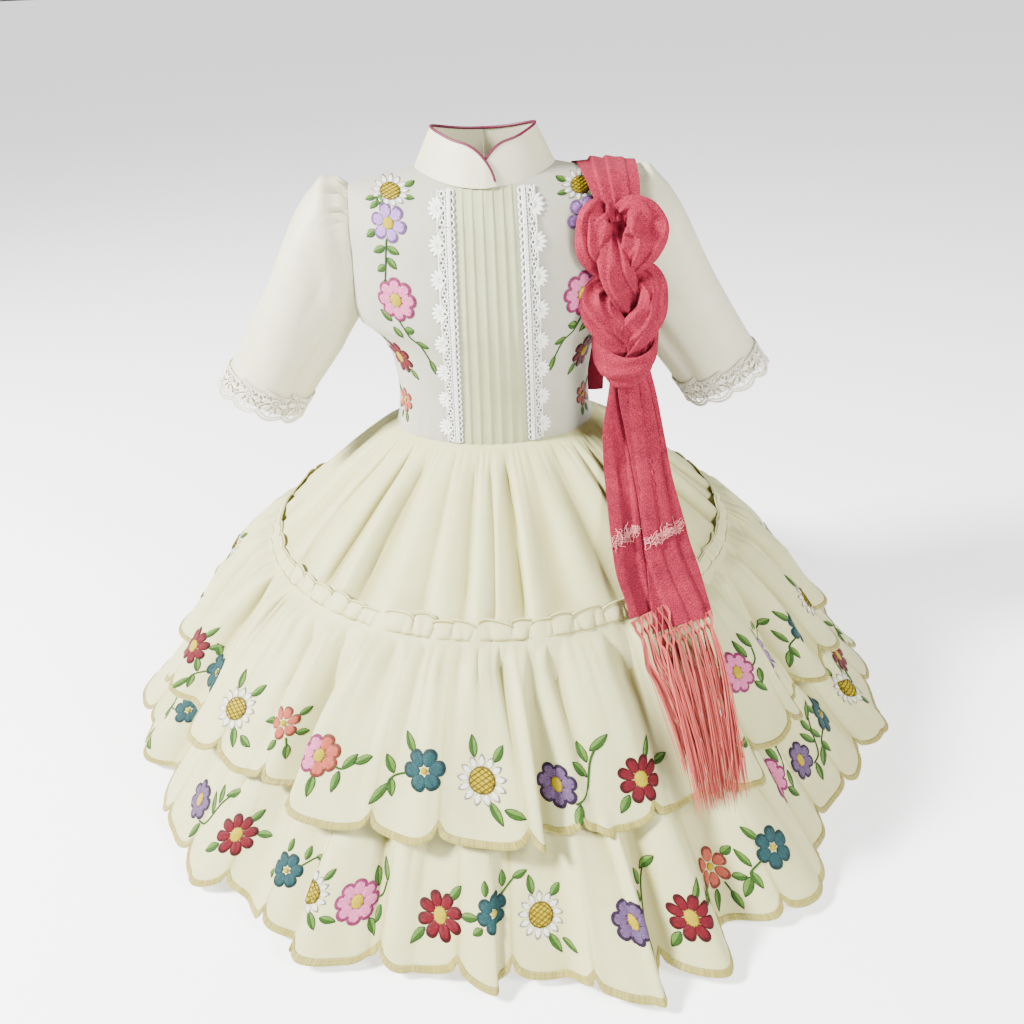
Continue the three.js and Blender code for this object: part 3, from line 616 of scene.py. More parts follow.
def weave_group():
    """Plain weave: threads over and under along the UV in metres, with slubs and soft mottling."""
    group, start, end = new_group("Plain weave", ["Threads", "Slub", "Heather"], ["Height", "Mottle"])
    uv = node(group, "ShaderNodeUVMap").outputs[0]
    where = node(group, "ShaderNodeTexCoord").outputs["Object"]
    split = node(group, "ShaderNodeSeparateXYZ", {0: uv})
    warp, weft = [thread_wave(group, maths(group, "MULTIPLY", split.outputs[i], start.outputs["Threads"]))
                  for i in (0, 1)]
    over = maths(group, "MULTIPLY", warp, weft)
    coarse = node(group, "ShaderNodeTexNoise", {"Vector": where, "Scale": 45.0, "Detail": 3.0}).outputs["Fac"]
    stretch = node(group, "ShaderNodeVectorMath", {0: uv, 1: (60.0, 1400.0, 1.0)}, operation="MULTIPLY").outputs[0]
    slub = node(group, "ShaderNodeTexNoise", {"Vector": stretch, "Scale": 1.0, "Detail": 2.0}).outputs["Fac"]
    height = maths(group, "ADD", maths(group, "MULTIPLY", over, 0.5),
                   maths(group, "MULTIPLY", slub, start.outputs["Slub"]))
    group.links.new(height, end.inputs["Height"])
    soft = maths(group, "ADD", maths(group, "MULTIPLY", coarse, 0.6), maths(group, "MULTIPLY", slub, 0.4))
    flecks = node(group, "ShaderNodeTexNoise", {"Vector": where, "Scale": 1100.0, "Detail": 1.0}).outputs["Fac"]
    flecks = maths(group, "SUBTRACT", maths(group, "MULTIPLY", flecks, 2.6), 0.8)
    heathered = maths(group, "MULTIPLY", maths(group, "SUBTRACT", flecks, soft), start.outputs["Heather"])
    group.links.new(maths(group, "ADD", soft, heathered), end.inputs["Mottle"])
    return group


def stitch_group():
    """Satin stitches: threads side by side across the UV's first way, each a little uneven in tone, with painted shade
    darkening the grooves between them.
    """
    group, start, end = new_group("Satin stitch", ["Threads"], ["Height", "Shade"])
    uv = node(group, "ShaderNodeUVMap").outputs[0]
    split = node(group, "ShaderNodeSeparateXYZ", {0: uv})
    along = maths(group, "MULTIPLY", split.outputs[0], start.outputs["Threads"])
    ridge = maths(group, "ABSOLUTE", thread_wave(group, along))
    each = maths(group, "FLOOR", along)
    shade = node(group, "ShaderNodeTexWhiteNoise", {"W": each}, noise_dimensions="1D").outputs["Value"]
    group.links.new(ridge, end.inputs["Height"])
    # Each thread's own random tone, mixed with painted shade that darkens towards the grooves between threads.
    group.links.new(maths(group, "ADD", maths(group, "MULTIPLY", shade, 0.55), maths(group, "MULTIPLY", ridge, 0.45)),
                    end.inputs["Shade"])
    return group


WEAVE = weave_group()
STITCH = stitch_group()
# Threads to the metre, in fine cloth and in stitches laid side by side.
FINE = 2600.0
STITCHES = 1100.0


def finish_of(name, group, inputs, dark, light, tone, height, depth, roughness, sheen=0.0, specular=0.4, through=0.0):
    """A thread or cloth finish: two tones mixed by one of the group's masks, raised by its height."""
    material = bpy.data.materials.new(name)
    material.use_nodes = True
    tree = material.node_tree
    shader = tree.nodes["Principled BSDF"]
    pattern = node(tree, "ShaderNodeGroup", node_tree=group)
    set_inputs(pattern, inputs)
    ramp = node(tree, "ShaderNodeValToRGB", {"Fac": pattern.outputs[tone]})
    ramp.color_ramp.elements[0].position, ramp.color_ramp.elements[1].position = 0.3, 0.75
    ramp.color_ramp.elements[0].color = (*dark, 1)
    ramp.color_ramp.elements[1].color = (*light, 1)
    tree.links.new(ramp.outputs["Color"], shader.inputs["Base Color"])
    bump = node(tree, "ShaderNodeBump", {"Height": pattern.outputs[height], "Strength": 0.5, "Distance": depth})
    tree.links.new(bump.outputs["Normal"], shader.inputs["Normal"])
    set_inputs(shader, {
        "Subsurface Weight": through, "Subsurface Radius": (1.0, 0.85, 0.35), "Subsurface Scale": 0.003,
        "Roughness": roughness, "Sheen Weight": sheen, "Sheen Roughness": 0.5, "Specular IOR Level": specular})
    return material


def woven(name, dark, light, threads, slub, depth, roughness, sheen, specular, through=0.0, heather=0.12):
    """Cloth: its threads are counted to the metre, and its depth is in metres."""
    inputs = {"Threads": threads, "Slub": slub, "Heather": heather}
    return finish_of(name, WEAVE, inputs, dark, light, "Mottle", "Height", depth, roughness, sheen, specular, through)


def stitched(name, dark, light, threads=STITCHES, depth=0.00025, roughness=0.55, sheen=0.0, specular=0.14):
    inputs = {"Threads": threads}
    return finish_of(name, STITCH, inputs, dark, light, "Shade", "Height", depth, roughness, sheen, specular)


def paint_shade_in_folds(material, shade):
    """Paints shade into a cloth's colour: it turns to a darker, yellower tone where its points are noted as lying in a
    fold.
    """
    tree = material.node_tree
    colour = tree.nodes["Principled BSDF"].inputs["Base Color"]
    # The fold attribute on the cloth's points is the mask of this painted shade.
    folds = node(tree, "ShaderNodeAttribute", attribute_name="fold").outputs["Fac"]
    fold_shade_mix = node(tree, "ShaderNodeMix", {"Factor": maths(tree, "MULTIPLY", folds, 0.95)}, data_type="RGBA")
    tree.links.new(colour.links[0].from_socket, fold_shade_mix.inputs[6])
    fold_shade_mix.inputs[7].default_value = (*shade, 1)
    tree.links.new(fold_shade_mix.outputs[2], colour)


CREAM = woven("Cream satin", (0.436, 0.422, 0.198), (0.502, 0.495, 0.251), FINE, 0.2, 0.00004, 0.55, 0.03, 0.25, 0.15)
# Painted shade in the folds of the cream satin: this darker yellow stands for the shade in their hollows.
paint_shade_in_folds(CREAM, (0.315, 0.29, 0.10))
IVORY = woven("Ivory satin", (0.475, 0.455, 0.304), (0.548, 0.528, 0.37), FINE, 0.2, 0.00004, 0.5, 0.03, 0.25, 0.15)
# Painted shade: the bodice is the same ivory satin as the collar and sleeves, darkened to stand for the shade on the
# bodice.
BODICE = woven("Bodice satin darkened as painted shade", (0.31, 0.303, 0.228), (0.363, 0.356, 0.279), FINE, 0.2, 0.00004, 0.6, 0.03, 0.2)
PANEL = woven("Tucked panel satin", (0.304, 0.317, 0.172), (0.363, 0.376, 0.218),
              FINE, 0.3, 0.00005, 0.6, 0.03, 0.2)
CORAL = woven("Coral shawl cloth", (0.097, 0.0072, 0.017), (0.323, 0.021, 0.044),
              FINE, 0.6, 0.00012, 0.85, 0.02, 0.06, 0.0, 0.5)
PIPING = woven("Rose satin piping", (0.066, 0.0033, 0.015), (0.125, 0.0059, 0.032),
               1500.0, 0.2, 0.00005, 0.45, 0.03, 0.3)
LACE_THREAD = stitched("White lace thread", (0.64, 0.64, 0.60), (0.82, 0.82, 0.78), 900.0, 0.0002, 0.7, 0.05, 0.2)
ECRU_THREAD = stitched("Ecru lace thread", (0.54, 0.51, 0.39), (0.76, 0.72, 0.59), 900.0, 0.0002, 0.7, 0.05, 0.2)
HEM_THREAD = stitched("Pale gold hem thread", (0.172, 0.141, 0.023), (0.343, 0.297, 0.064),
                      1900.0, 0.0003, 0.45, 0.02, 0.3)
FRINGE_THREAD = stitched("Coral fringe thread", (0.14, 0.02, 0.014), (0.40, 0.066, 0.055),
                         STITCHES, 0.0002, 0.6, 0.03, 0.12)
FRAYED_THREAD = stitched("Pale frayed thread", (0.363, 0.079, 0.079), (0.607, 0.211, 0.211),
                         STITCHES, 0.0002, 0.6, 0.03, 0.15)

# ---- Bodice ----


def bodice_columns(inner, outer, count, face):
    """Places on a bodice panel between two edge rules, from the waist seam to its top edge."""
    rows = np.concatenate([np.linspace(0, 0.9, 38), np.linspace(0.915, 1, 12)])
    angles, heights = np.empty((len(rows), count)), np.empty((len(rows), count))
    for c, share in enumerate(np.linspace(0, 1, count)):
        rule = lambda z: mix(inner(z), outer(z), share)
        top = NECK["side"]
        for _ in range(10):
            x = read(TORSO, "half", top) * np.sin(np.radians(rule(top)))
            top = float(top_edge(min(abs(x), SHOULDER_TIP["x"]), face))
        z = mix(0.15, top, rows)
        angles[:, c], heights[:, c] = rule(z), z
    return angles, heights


def lace_edge(z):
    return angle_of(panel_edge(z), z)


a, z = bodice_columns(lace_edge, outer_angle, 42, -1)
bodice_left = cloth("bodice_front_left_cloth", front, a, z)
bodice_right = mirror_copy(bodice_left, "bodice_front_right_cloth")
a, z = bodice_columns(lambda z: -lace_edge(z) + 0.05, lambda z: lace_edge(z) - 0.05, 120, -1)
panel = cloth("bodice_tucked_panel", tucked, a, z)
a, z = bodice_columns(lambda z: 0 * np.asarray(z, float), outer_angle, 42, 1)
back_left = cloth("bodice_back_left_cloth", back, -a[:, ::-1], z[:, ::-1])
back_right = mirror_copy(back_left, "bodice_back_right_cloth")

# ---- Stand collar ----


def collar_half(name, overlap, lift):
    """Half the collar, with its rounded front corner: its piece, its surface and its upper edge."""
    start = -math.degrees(math.asin(overlap / NECK["half"]))
    at_corner, behind_it = 22, 44
    steps = np.concatenate([np.linspace(2, 90, at_corner), np.full(behind_it, 90.0)])
    along = COLLAR["corner"] * (1 - np.cos(np.radians(steps[:at_corner])))
    turn = start + np.degrees(along / COLLAR["front_radius"])
    turn = np.concatenate([turn, np.linspace(turn[-1], 179.8, behind_it + 1)[1:]])
    top = np.sin(np.radians(steps))

    def surface(t, share):
        return collar(t, share, lift * (1 - ease((np.asarray(t) - 15) / 30)))

    shares = np.linspace(-0.035, 1, 16)[:, None]
    return cloth(name, surface, turn[None], shares * top), surface, np.stack([turn, top], 1)


def cord_rings(path, radius, sides=8):
    """Rings of points round a path, each ending on its first point."""
    ahead = unit(np.gradient(path, axis=0))
    side = unit(np.cross(ahead, (0.0, 0.0, 1.0)))
    over = np.cross(side, ahead)
    turn = np.linspace(0, 2 * np.pi, sides, endpoint=False)
    radius = np.broadcast_to(np.asarray(radius, float), (len(path),))
    rings = path[:, None] + radius[:, None, None] * (
        np.cos(turn)[None, :, None] * side[:, None] + np.sin(turn)[None, :, None] * over[:, None])
    return np.concatenate([rings, rings[:, :1]], 1)


def close_tube(piece, near):
    """Joins the points that lie on each other, closes a tube's two ends, and turns its faces outwards."""
    in_edit(piece, lambda: (
        bpy.ops.mesh.remove_doubles(threshold=near),
        bpy.ops.mesh.select_all(action="DESELECT"),
        bpy.ops.mesh.select_non_manifold(),
        bpy.ops.mesh.fill_holes(sides=0),
        bpy.ops.mesh.select_all(action="SELECT"),
        bpy.ops.mesh.normals_make_consistent(inside=False)))


def cord_mesh(name, path, radius, sides=8):
    """A round cord through a path, closed at both ends."""
    piece = spread_grid(name, cord_rings(path, radius, sides))
    close_tube(piece, 0.000001)
    smooth(piece, 60)
    return piece


collar_left, left_surface, left_edge = collar_half("collar_left_cloth", COLLAR_END["under"], 0.0)
collar_over, right_surface, right_edge = collar_half("collar_over_cloth", COLLAR_END["over"], COLLAR["overlap"])
collar_right = mirror_copy(collar_over, "collar_right_cloth")
bpy.data.objects.remove(collar_over)


def piping(name, surface, edge, mirrored):
    """A cord along the collar's upper edge, let into it by a little."""
    edge = edge[edge[:, 1] > 0.06]
    path = surface(edge[:, 0], edge[:, 1]) - normals(surface, edge[:, 0], edge[:, 1]) * 0.4
    if mirrored:
        path[:, 0] *= -1
    return cord_mesh(name, path, 1.35)


piping_left = piping("collar_piping_left_cord", left_surface, left_edge, False)
piping_right = piping("collar_piping_right_cord", right_surface, right_edge, True)

# ---- Sleeves ----

turns = np.linspace(0, 360, 113)
places = np.concatenate([np.linspace(0, 24, 20), np.linspace(27, 98, 26)])[:, None]
sleeve_left = cloth("sleeve_left_cloth", sleeve, turns[None], places, joined=True, side=-1)
sleeve_right = mirror_copy(sleeve_left, "sleeve_right_cloth")

# ---- Skirt, frill headings and flounces ----

# The hem band's section: how far up from the scalloped edge and how far out of the cloth each row lies.
HEM_SECTION = (
    (-0.6, -0.4), (0.3, 0.7), (1.5, 0.95), (2.1, 0.5), (2.6, 0.75), (3.8, 0.65), (4.3, -0.1), (3.8, -1.3),
    (2.0, -1.5), (0.2, -1.3), (-0.6, -0.4))


def hem_band(name, tier, across):
    """Satin stitches over the scalloped edge: each row of places lies square to the edge, on both faces."""
    surface, form = flounce(tier), TIERS[tier]
    z = hem_height(tier, across)
    wide = np.radians(1.0) * form["shape"]["radius"][0]
    run = across * wide
    lean, rise = np.gradient(run), np.gradient(z)
    long = np.hypot(lean, rise)
    rows = []
    for up, out in HEM_SECTION:
        at, height = across - rise / long * up / wide, z + lean / long * up
        rows.append(surface(at, height) + normals(surface, at, height) * out)
    piece = spread_grid(name, np.array(rows))
    close_tube(piece, 0.00002)
    smooth(piece, 70)
    return piece


def overlock(name, across):
    """Gold thread over the frill's rolled edge, and the gathering stitches at its seam."""
    lines = []
    for z, radius in FRILL_STITCHES:
        level = np.full(len(across), z)
        path = frill(across, level) + 0.75 * normals(frill, across, level)
        lines.append(cord_mesh("stitching", path, radius, 4))
    return join(name, lines)


# The skirt, headings and flounces note their folds, where painted shade darkens their cream satin.
whole_skirt, headings, stitching, flounces, hems = {}, {}, {}, {}, {}
for half, begin in (("front", -90), ("back", 90)):
    across = np.linspace(begin, begin + 180, 361)[None]
    down = np.concatenate([np.linspace(*part) for part in ((-205, -150, 3), (-130, -34, 18), (-30, 0.8, 17))])
    whole_skirt[half] = cloth(f"skirt_{half}_cloth", skirt, across, down[:, None], folds=(15, 7.0))
    across = np.linspace(begin, begin + 180, 541)[None]
    up = np.linspace(FRILL["hidden"], FRILL["edge"], 10)[:, None]
    heading = cloth(f"upper_flounce_heading_{half}", frill, across, up, 0.6, folds=(9, 5.0))
    rolled = cord_mesh("rolled_edge", frill(across[0], np.full(across.shape[1], FRILL["edge"])), 0.85, 6)
    headings[half] = join(f"upper_flounce_heading_{half}_cloth", [heading, rolled])
    stitching[half] = overlock(f"upper_flounce_heading_{half}_stitching", across[0])
    for tier, form in TIERS.items():
        surface = flounce(tier)
        across = np.linspace(begin, begin + 180, form["scallops"] * 24 + 1)
        share = (np.linspace(0, 1, 30) ** 1.12)[:, None]
        heights = mix(form["seam"], hem_height(tier, across)[None], share)[::-1]
        flounces[tier, half] = cloth(f"{tier}_flounce_{half}_cloth", surface, across[None], heights, folds=(11, 9.0))
        hems[tier, half] = hem_band(f"{tier}_flounce_{half}_hem_band", tier, across)

# ---- Embroidery: each motif is worked flat once, then laid on the cloth ----

TEAL = stitched("Teal thread", (0.0053, 0.026, 0.028), (0.013, 0.056, 0.061))
DEEP_TEAL = stitched("Deep teal thread", (0.002, 0.011, 0.011), (0.0053, 0.024, 0.025))
RED = stitched("Red thread", (0.056, 0.0013, 0.0033), (0.125, 0.0026, 0.0092))
DEEP_RED = stitched("Deep red thread", (0.02, 0.00066, 0.0013), (0.046, 0.00066, 0.0026))
YELLOW = stitched("Yellow thread", (0.224, 0.165, 0), (0.37, 0.284, 0))
GOLD = stitched("Gold centre thread", (0.145, 0.079, 0), (0.238, 0.145, 0))
MAGENTA = stitched("Magenta thread", (0.092, 0.0079, 0.036), (0.158, 0.018, 0.066))
PINK = stitched("Pale pink thread", (0.317, 0.066, 0.139), (0.541, 0.139, 0.277))
VIOLET = stitched("Violet thread", (0.05, 0.025, 0.066), (0.112, 0.066, 0.139))
PLUM = stitched("Plum outline thread", (0.0092, 0.004, 0.012), (0.023, 0.011, 0.03))
LILAC = stitched("Lilac thread", (0.178, 0.079, 0.251), (0.343, 0.185, 0.449))
IRIS = stitched("Iris outline thread", (0.066, 0.033, 0.092), (0.112, 0.059, 0.145))
SALMON = stitched("Salmon thread", (0.211, 0.04, 0.023), (0.396, 0.079, 0.043))
RUST = stitched("Rust outline thread", (0.073, 0.015, 0.0079), (0.132, 0.03, 0.017))
WHITE = stitched("White thread", (0.515, 0.515, 0.475), (0.627, 0.627, 0.594))
GREY = stitched("Grey outline thread", (0.112, 0.106, 0.079), (0.211, 0.198, 0.145))
BROWN = stitched("Brown outline thread", (0.055, 0.033, 0.002), (0.112, 0.076, 0.006))
GREEN = stitched("Leaf green thread", (0.011, 0.04, 0.0026), (0.025, 0.076, 0.0066))
FRESH = stitched("Fresh green thread", (0.04, 0.099, 0.0099), (0.092, 0.178, 0.03))
DARK_GREEN = stitched("Dark green thread", (0.004, 0.012, 0.002), (0.0099, 0.024, 0.004))
THREADS = [TEAL, DEEP_TEAL, RED, DEEP_RED, YELLOW, GOLD, MAGENTA, PINK, VIOLET, PLUM, LILAC, IRIS, SALMON, RUST,
           WHITE, GREY, BROWN, GREEN, FRESH, DARK_GREEN, LACE_THREAD]


def reach_and_turn(flat):
    return np.hypot(flat[:, 0], flat[:, 1]), np.arctan2(flat[:, 1], flat[:, 0])


def patch(corners, rings):
    """A flat round patch of stitches, its radius 1, with rings of faces inside it."""
    bpy.ops.object.select_all(action="DESELECT")
    bpy.ops.mesh.primitive_circle_add(vertices=corners, radius=1, fill_type="NGON")
    made = bpy.context.object

    def rings_inside():
        for outer, inner in zip(rings, rings[1:]):
            bpy.ops.mesh.inset(thickness=(outer - inner) * math.cos(math.pi / corners))
        bpy.ops.mesh.poke()

    in_edit(made, rings_inside)
    reach, turn = reach_and_turn(read_points(made))
    write_uv(made, np.stack([turn, reach], 1) * 0.006)
    return made


PETAL = patch(18, (1, 0.9, 0.62, 0.3))
CENTRE = patch(20, (1, 0.88, 0.5))
LEAF = patch(14, (1, 0.86, 0.45))


def worked(form, place_of, tone_of):
    """A copy of a flat patch, its points moved by place_of(reach, turn) and its faces given thread by tone_of."""
    made = copy_of(form)
    flat = read_points(form)
    write_points(made, np.stack(place_of(*reach_and_turn(flat)), 1))
    for thread in THREADS:
        made.data.materials.append(thread)
    for face in made.data.polygons:
        here = flat[list(face.vertices)].mean(0)
        face.material_index = THREADS.index(tone_of(math.hypot(here[0], here[1]), here))
    return made


def petal(distance, length, width, angle, rim, fill, pointed=0.0, puff=0.9):
    """A petal at an angle and a distance from its flower's middle, its rim in another thread."""
    c, s = math.cos(math.radians(angle)), math.sin(math.radians(angle))

    def place_of(reach, turn):
        along = length * reach * np.cos(turn)
        swell = 1 + 0.28 * np.cos(turn) - pointed * np.clip(np.cos(turn), 0, 1) ** 2
        across = width * reach * np.sin(turn) * swell
        height = puff * np.sqrt(np.clip(1.02 - reach ** 2, 0, 1)) * (1 - 0.25 * np.clip(-np.cos(turn), 0, 1))
        x = distance + along
        return x * c - across * s, x * s + across * c, height

    return worked(PETAL, place_of, lambda reach, here: rim if reach > 0.66 + 0.2 * (here[0] < 0) else fill)


def centre(radius, tall, thread, outline, puff=1.3):
    """A flower's raised middle."""

    def place_of(reach, turn):
        height = 0.25 + puff * np.sqrt(np.clip(1.03 - reach ** 2, 0, 1))
        return radius * reach * np.cos(turn), radius * tall * reach * np.sin(turn), height

    return worked(CENTRE, place_of, lambda reach, here: outline if reach > 0.86 else thread)


def leaf(x, y, tip_x, tip_y, width=4.2):
    """A leaf in two greens, from its stalk to its tip."""
    length = math.hypot(tip_x - x, tip_y - y) / 2
    c, s = (tip_x - x) / (2 * length), (tip_y - y) / (2 * length)

    def place_of(reach, turn):
        along = length * reach * np.cos(turn)
        side = width * reach * np.sin(turn) * np.abs(np.sin(turn)) ** 0.8 * (1 - 0.18 * np.cos(turn))
        height = 0.75 * np.sqrt(np.clip(1.03 - reach ** 2, 0, 1)) - 0.4 * np.exp(-(side / 0.7) ** 2) * (reach < 0.9)
        return (x + tip_x) / 2 + along * c - side * s, (y + tip_y) / 2 + along * s + side * c, height

    def tone_of(reach, here):
        if reach > 0.88:
            return DARK_GREEN
        return FRESH if here[1] * (1 if c >= 0 else -1) > 0 else GREEN

    return worked(LEAF, place_of, tone_of)


def stem(path, width=1.0, tone=GREEN, lift=0.0):
    """A line of thread through a few places, rounded on top."""
    bend = finer(np.array(path, float), 5)
    soften(bend, 6)
    ahead = unit(np.gradient(bend, axis=0))
    side = np.stack([-ahead[:, 1], ahead[:, 0]], 1)
    rows = []
    for across, height in ((-1, 0), (-0.5, 0.6), (0.5, 0.6), (1, 0)):
        rows.append(np.column_stack([bend + side * width * across, np.full(len(bend), height + lift)]))
    made = new_grid(len(rows), len(bend))
    write_points(made, np.concatenate(rows))
    for thread in THREADS:
        made.data.materials.append(thread)
    made.data.polygons.foreach_set("material_index", [THREADS.index(tone)] * len(made.data.polygons))
    return made


def round_of(count, start, distance, length, width, rim, fill, **more):
    return [petal(distance, length, width, start + 360 * i / count, rim, fill, **more) for i in range(count)]


def daisy():
    """White rays round a yellow middle that is crossed by a lattice of brown thread."""
    rays = round_of(13, 7, 17.2, 5.6, 3.0, GREY, WHITE, pointed=0.85, puff=0.6)
    lattice = []
    for k in (-8.1, -4.05, 0, 4.05, 8.1):
        reach = math.sqrt(11.4 ** 2 - k ** 2)
        for c, s in ((0.82, 0.57), (-0.82, 0.57)):
            at = [(t * reach * c - k * s, t * reach * s + k * c) for t in (-1, -0.5, 0, 0.5, 1)]
            lattice.append(stem(at, 0.36, BROWN, 0.95))
    return [*rays, centre(12.2, 1.0, YELLOW, BROWN, 0.9), *lattice]


FLOWERS = {
    "teal": lambda: [*round_of(6, 10, 11.8, 8.0, 6.9, DEEP_TEAL, TEAL), centre(3.0, 1.0, YELLOW, GOLD)],
    "red": lambda: [*round_of(8, 20, 13.4, 8.2, 5.3, DEEP_RED, RED), centre(6.2, 1.2, YELLOW, GOLD)],
    "daisy": daisy,
    "pink": lambda: [*round_of(8, 0, 13.2, 8.2, 6.6, MAGENTA, PINK), centre(6.0, 1.15, YELLOW, GOLD)],
    "violet": lambda: [*round_of(7, 15, 12.0, 7.6, 6.4, PLUM, VIOLET), centre(5.4, 1.25, YELLOW, GOLD)],
    "lilac": lambda: [*round_of(6, 15, 12.2, 7.4, 6.2, IRIS, LILAC), centre(5.8, 1.0, YELLOW, GOLD)],
    "salmon": lambda: [*round_of(6, 25, 11.6, 7.2, 5.8, RUST, SALMON), centre(3.6, 1.0, YELLOW, GOLD)],
    "mixed": lambda: [
        *(petal(12.6, 7.8, 6.8, 22 + 51.4 * i, *((RUST, SALMON) if i in (0, 1, 5, 6) else (MAGENTA, PINK)))
          for i in range(7)),
        centre(5.4, 1.2, YELLOW, GOLD)],
    "none": lambda: [],
}
# Each sprig: its leaves from stalk to tip, and its stems.
SPRIGS = {
    "teal": ([(-11, 12, -23, 29), (-28, -9, -38, 9), (-32, -17, -46, -37), (-31, -12, -27, -29)],
             [[(-17, -6), (-30, -11), (-33, -19)]]),
    "daisy": ([(-7, 19, -10, 39), (11, 16, 22, 31), (6, -17, 17, -35), (18, -22, 36, -27)], []),
    "mixed": ([(0, -18, 0, -38), (22, -11, 20, -31), (24, -9, 36, 6), (34, -3, 51, 7)],
              [[(14, -7), (24, -11), (34, -3)]]),
    "violet": ([(33, 17, 28, 36), (31, 4, 18, 22), (37, 28, 57, 43), (19, -14, 13, -33)],
               [[(15, -14), (29, -10), (35, 18), (42, 30)]]),
    "red": ([(8, 14, 20, 30), (19, 4, 37, 7), (-13, -12, -25, -26)], []),
    "pink": ([(19, 9, 14, 30), (30, 18, 22, 37), (26, -4, 22, -22), (14, -16, 24, -32)],
             [[(18, -2), (27, 4), (29, 18)]]),
    "salmon": ([(-15, -6, -30, -12), (14, 10, 27, 19), (16, -10, 31, -9), (11, -22, 15, -39), (-1, -19, -9, -35)],
               [[(8, -15), (12, -27)]]),
    "vine": ([(-6, 18, -3, 35), (18, 15, 21, 32), (30, 22, 48, 27), (-15, -11, -27, -18)],
             [[(15, 8), (24, 16), (33, 23)]]),
    "bodice_top": ([(-17, 7, -28, 16), (-15, -6, -28, -9), (17, -8, 30, -14), (14, -14, 24, -27)], []),
    "bodice_violet": ([(6, 16, 14, 26), (15, -7, 26, -15), (5, -23, 19, -30), (4, -23, -10, -30), (6, -42, 16, -50),
                       (4, -34, -6, -46), (7, -57, 10, -72)], [[(3, -15), (5, -30), (6, -44), (8, -60)]]),
    "bodice_pink": ([(10, -22, 22, -11), (-2, -30, -13, -29), (4, -38, 11, -27), (-6, -42, -17, -47),
                     (-10, -60, -13, -76)], [[(2, -20), (-4, -33), (-7, -46), (-10, -62)]]),
    "bodice_salmon": ([(12, -10, 23, -15), (8, -17, 11, -31), (-2, -18, -6, -32), (13, 8, 25, 17)], []),
}


def motif(flower, sprig):
    leaves, stems = SPRIGS[sprig]
    parts = [*(stem(path) for path in stems), *(leaf(*facts) for facts in leaves), *FLOWERS[flower]()]
    made = join(f"{flower}_{sprig}", parts)
    smooth(made, 60)
    return made


MOTIFS = {}
# How much higher the stitches stand on the cloth than they were worked flat.
RELIEF = 1.25


def laid_form(form, surface, a, b, turn=0.0, scale=1.0, flip=1, stand=0.22):
    """A copy of a flat-worked form laid on the cloth with its zero point at a, b, so that its width is kept."""
    made = copy_of(form)
    x, y, height = (read_points(form) * scale).T
    x = x * flip
    c, s = math.cos(math.radians(turn)), math.sin(math.radians(turn))
    x, y = x * c - y * s, x * s + y * c
    steps = 300
    around = np.linspace(a - 30, a + 30, 2 * steps + 1)
    run = run_of(surface(around, np.full_like(around, b)))
    at = np.interp(run[steps] + x, run, around)
    rise = np.linalg.norm(surface(a, b + 2.0) - surface(a, b - 2.0)) / 4
    up = b + y / rise
    place(made, surface(at, up) + normals(surface, at, up) * (height * RELIEF + stand)[:, None])
    if flip < 0:
        in_edit(made, lambda: bpy.ops.mesh.flip_normals())
    return made


def laid(flower, sprig, surface, *where):
    """A motif laid on the cloth; each is worked once, when it is first wanted."""
    if (flower, sprig) not in MOTIFS:
        MOTIFS[flower, sprig] = motif(flower, sprig)
    return laid_form(MOTIFS[flower, sprig], surface, *where)


def embroider(name, surface, rows):
    return join(name, [laid(flower, sprig, surface, *rest) for flower, sprig, *rest in rows])


def clear_patterns():
    for form in [PETAL, CENTRE, LEAF, *MOTIFS.values()]:
        bpy.data.objects.remove(form)


# ---- Where the motifs lie on the dress ----

# Each row: a flower, its sprig, the angle and height of its middle, and its turn and scale where not 0 and 1.
UPPER_ROWS = [
    ("red", "red", -69.5, -200), ("teal", "teal", -62.8, -214), ("daisy", "daisy", -49.8, -206),
    ("salmon", "salmon", -39.5, -198, 0, 0.9), ("mixed", "mixed", -27.5, -200), ("teal", "teal", -12.8, -198),
    ("daisy", "daisy", -4.8, -204), ("violet", "violet", 7.5, -215), ("red", "red", 19.2, -216),
    ("daisy", "daisy", 31.8, -200), ("pink", "pink", 44.5, -186), ("lilac", "vine", 56, -200, 0, 0.9),
    ("teal", "teal", 66.5, -197), ("daisy", "daisy", 76, -198)]
LOWER_ROWS = [
    ("none", "daisy", -76.2, -310), ("teal", "teal", -69.8, -283, 0, 0.95), ("violet", "violet", -52, -303),
    ("red", "red", -41.8, -299), ("teal", "vine", -31.6, -300, 0, 0.85), ("daisy", "daisy", -24.6, -298, 0, 0.85),
    ("pink", "pink", -20.2, -302, 0, 0.95), ("red", "red", -9.8, -304), ("teal", "vine", -3.8, -296, 10, 0.85),
    ("daisy", "daisy", 3.2, -303, 0, 0.9), ("violet", "violet", 12, -298), ("red", "red", 19, -306),
    ("salmon", "salmon", 27.2, -304), ("teal", "teal", 34.5, -298), ("pink", "pink", 43, -280),
    ("violet", "violet", 52, -296), ("teal", "teal", 62.2, -286), ("daisy", "daisy", 71, -290),
    ("red", "red", 80, -290)]
BODICE_ROWS = [
    ("daisy", "bodice_top", 38.5, 241.5, 0, 0.92), ("lilac", "bodice_violet", 39.5, 217, 0, 1.0),
    ("pink", "bodice_pink", 38.5, 149, 0, 1.0), ("red", "red", 59, 84, 0, 0.85),
    ("salmon", "bodice_salmon", 66, 33, 0, 0.75)]


def sequence(kinds, begin, step, level, uneven):
    """Motifs that carry on round the back, each a little higher or lower than the last."""
    return [(*kinds[i % len(kinds)], begin + step * i, level + uneven * math.sin(2.3 * i))
            for i in range(int(182 / step))]


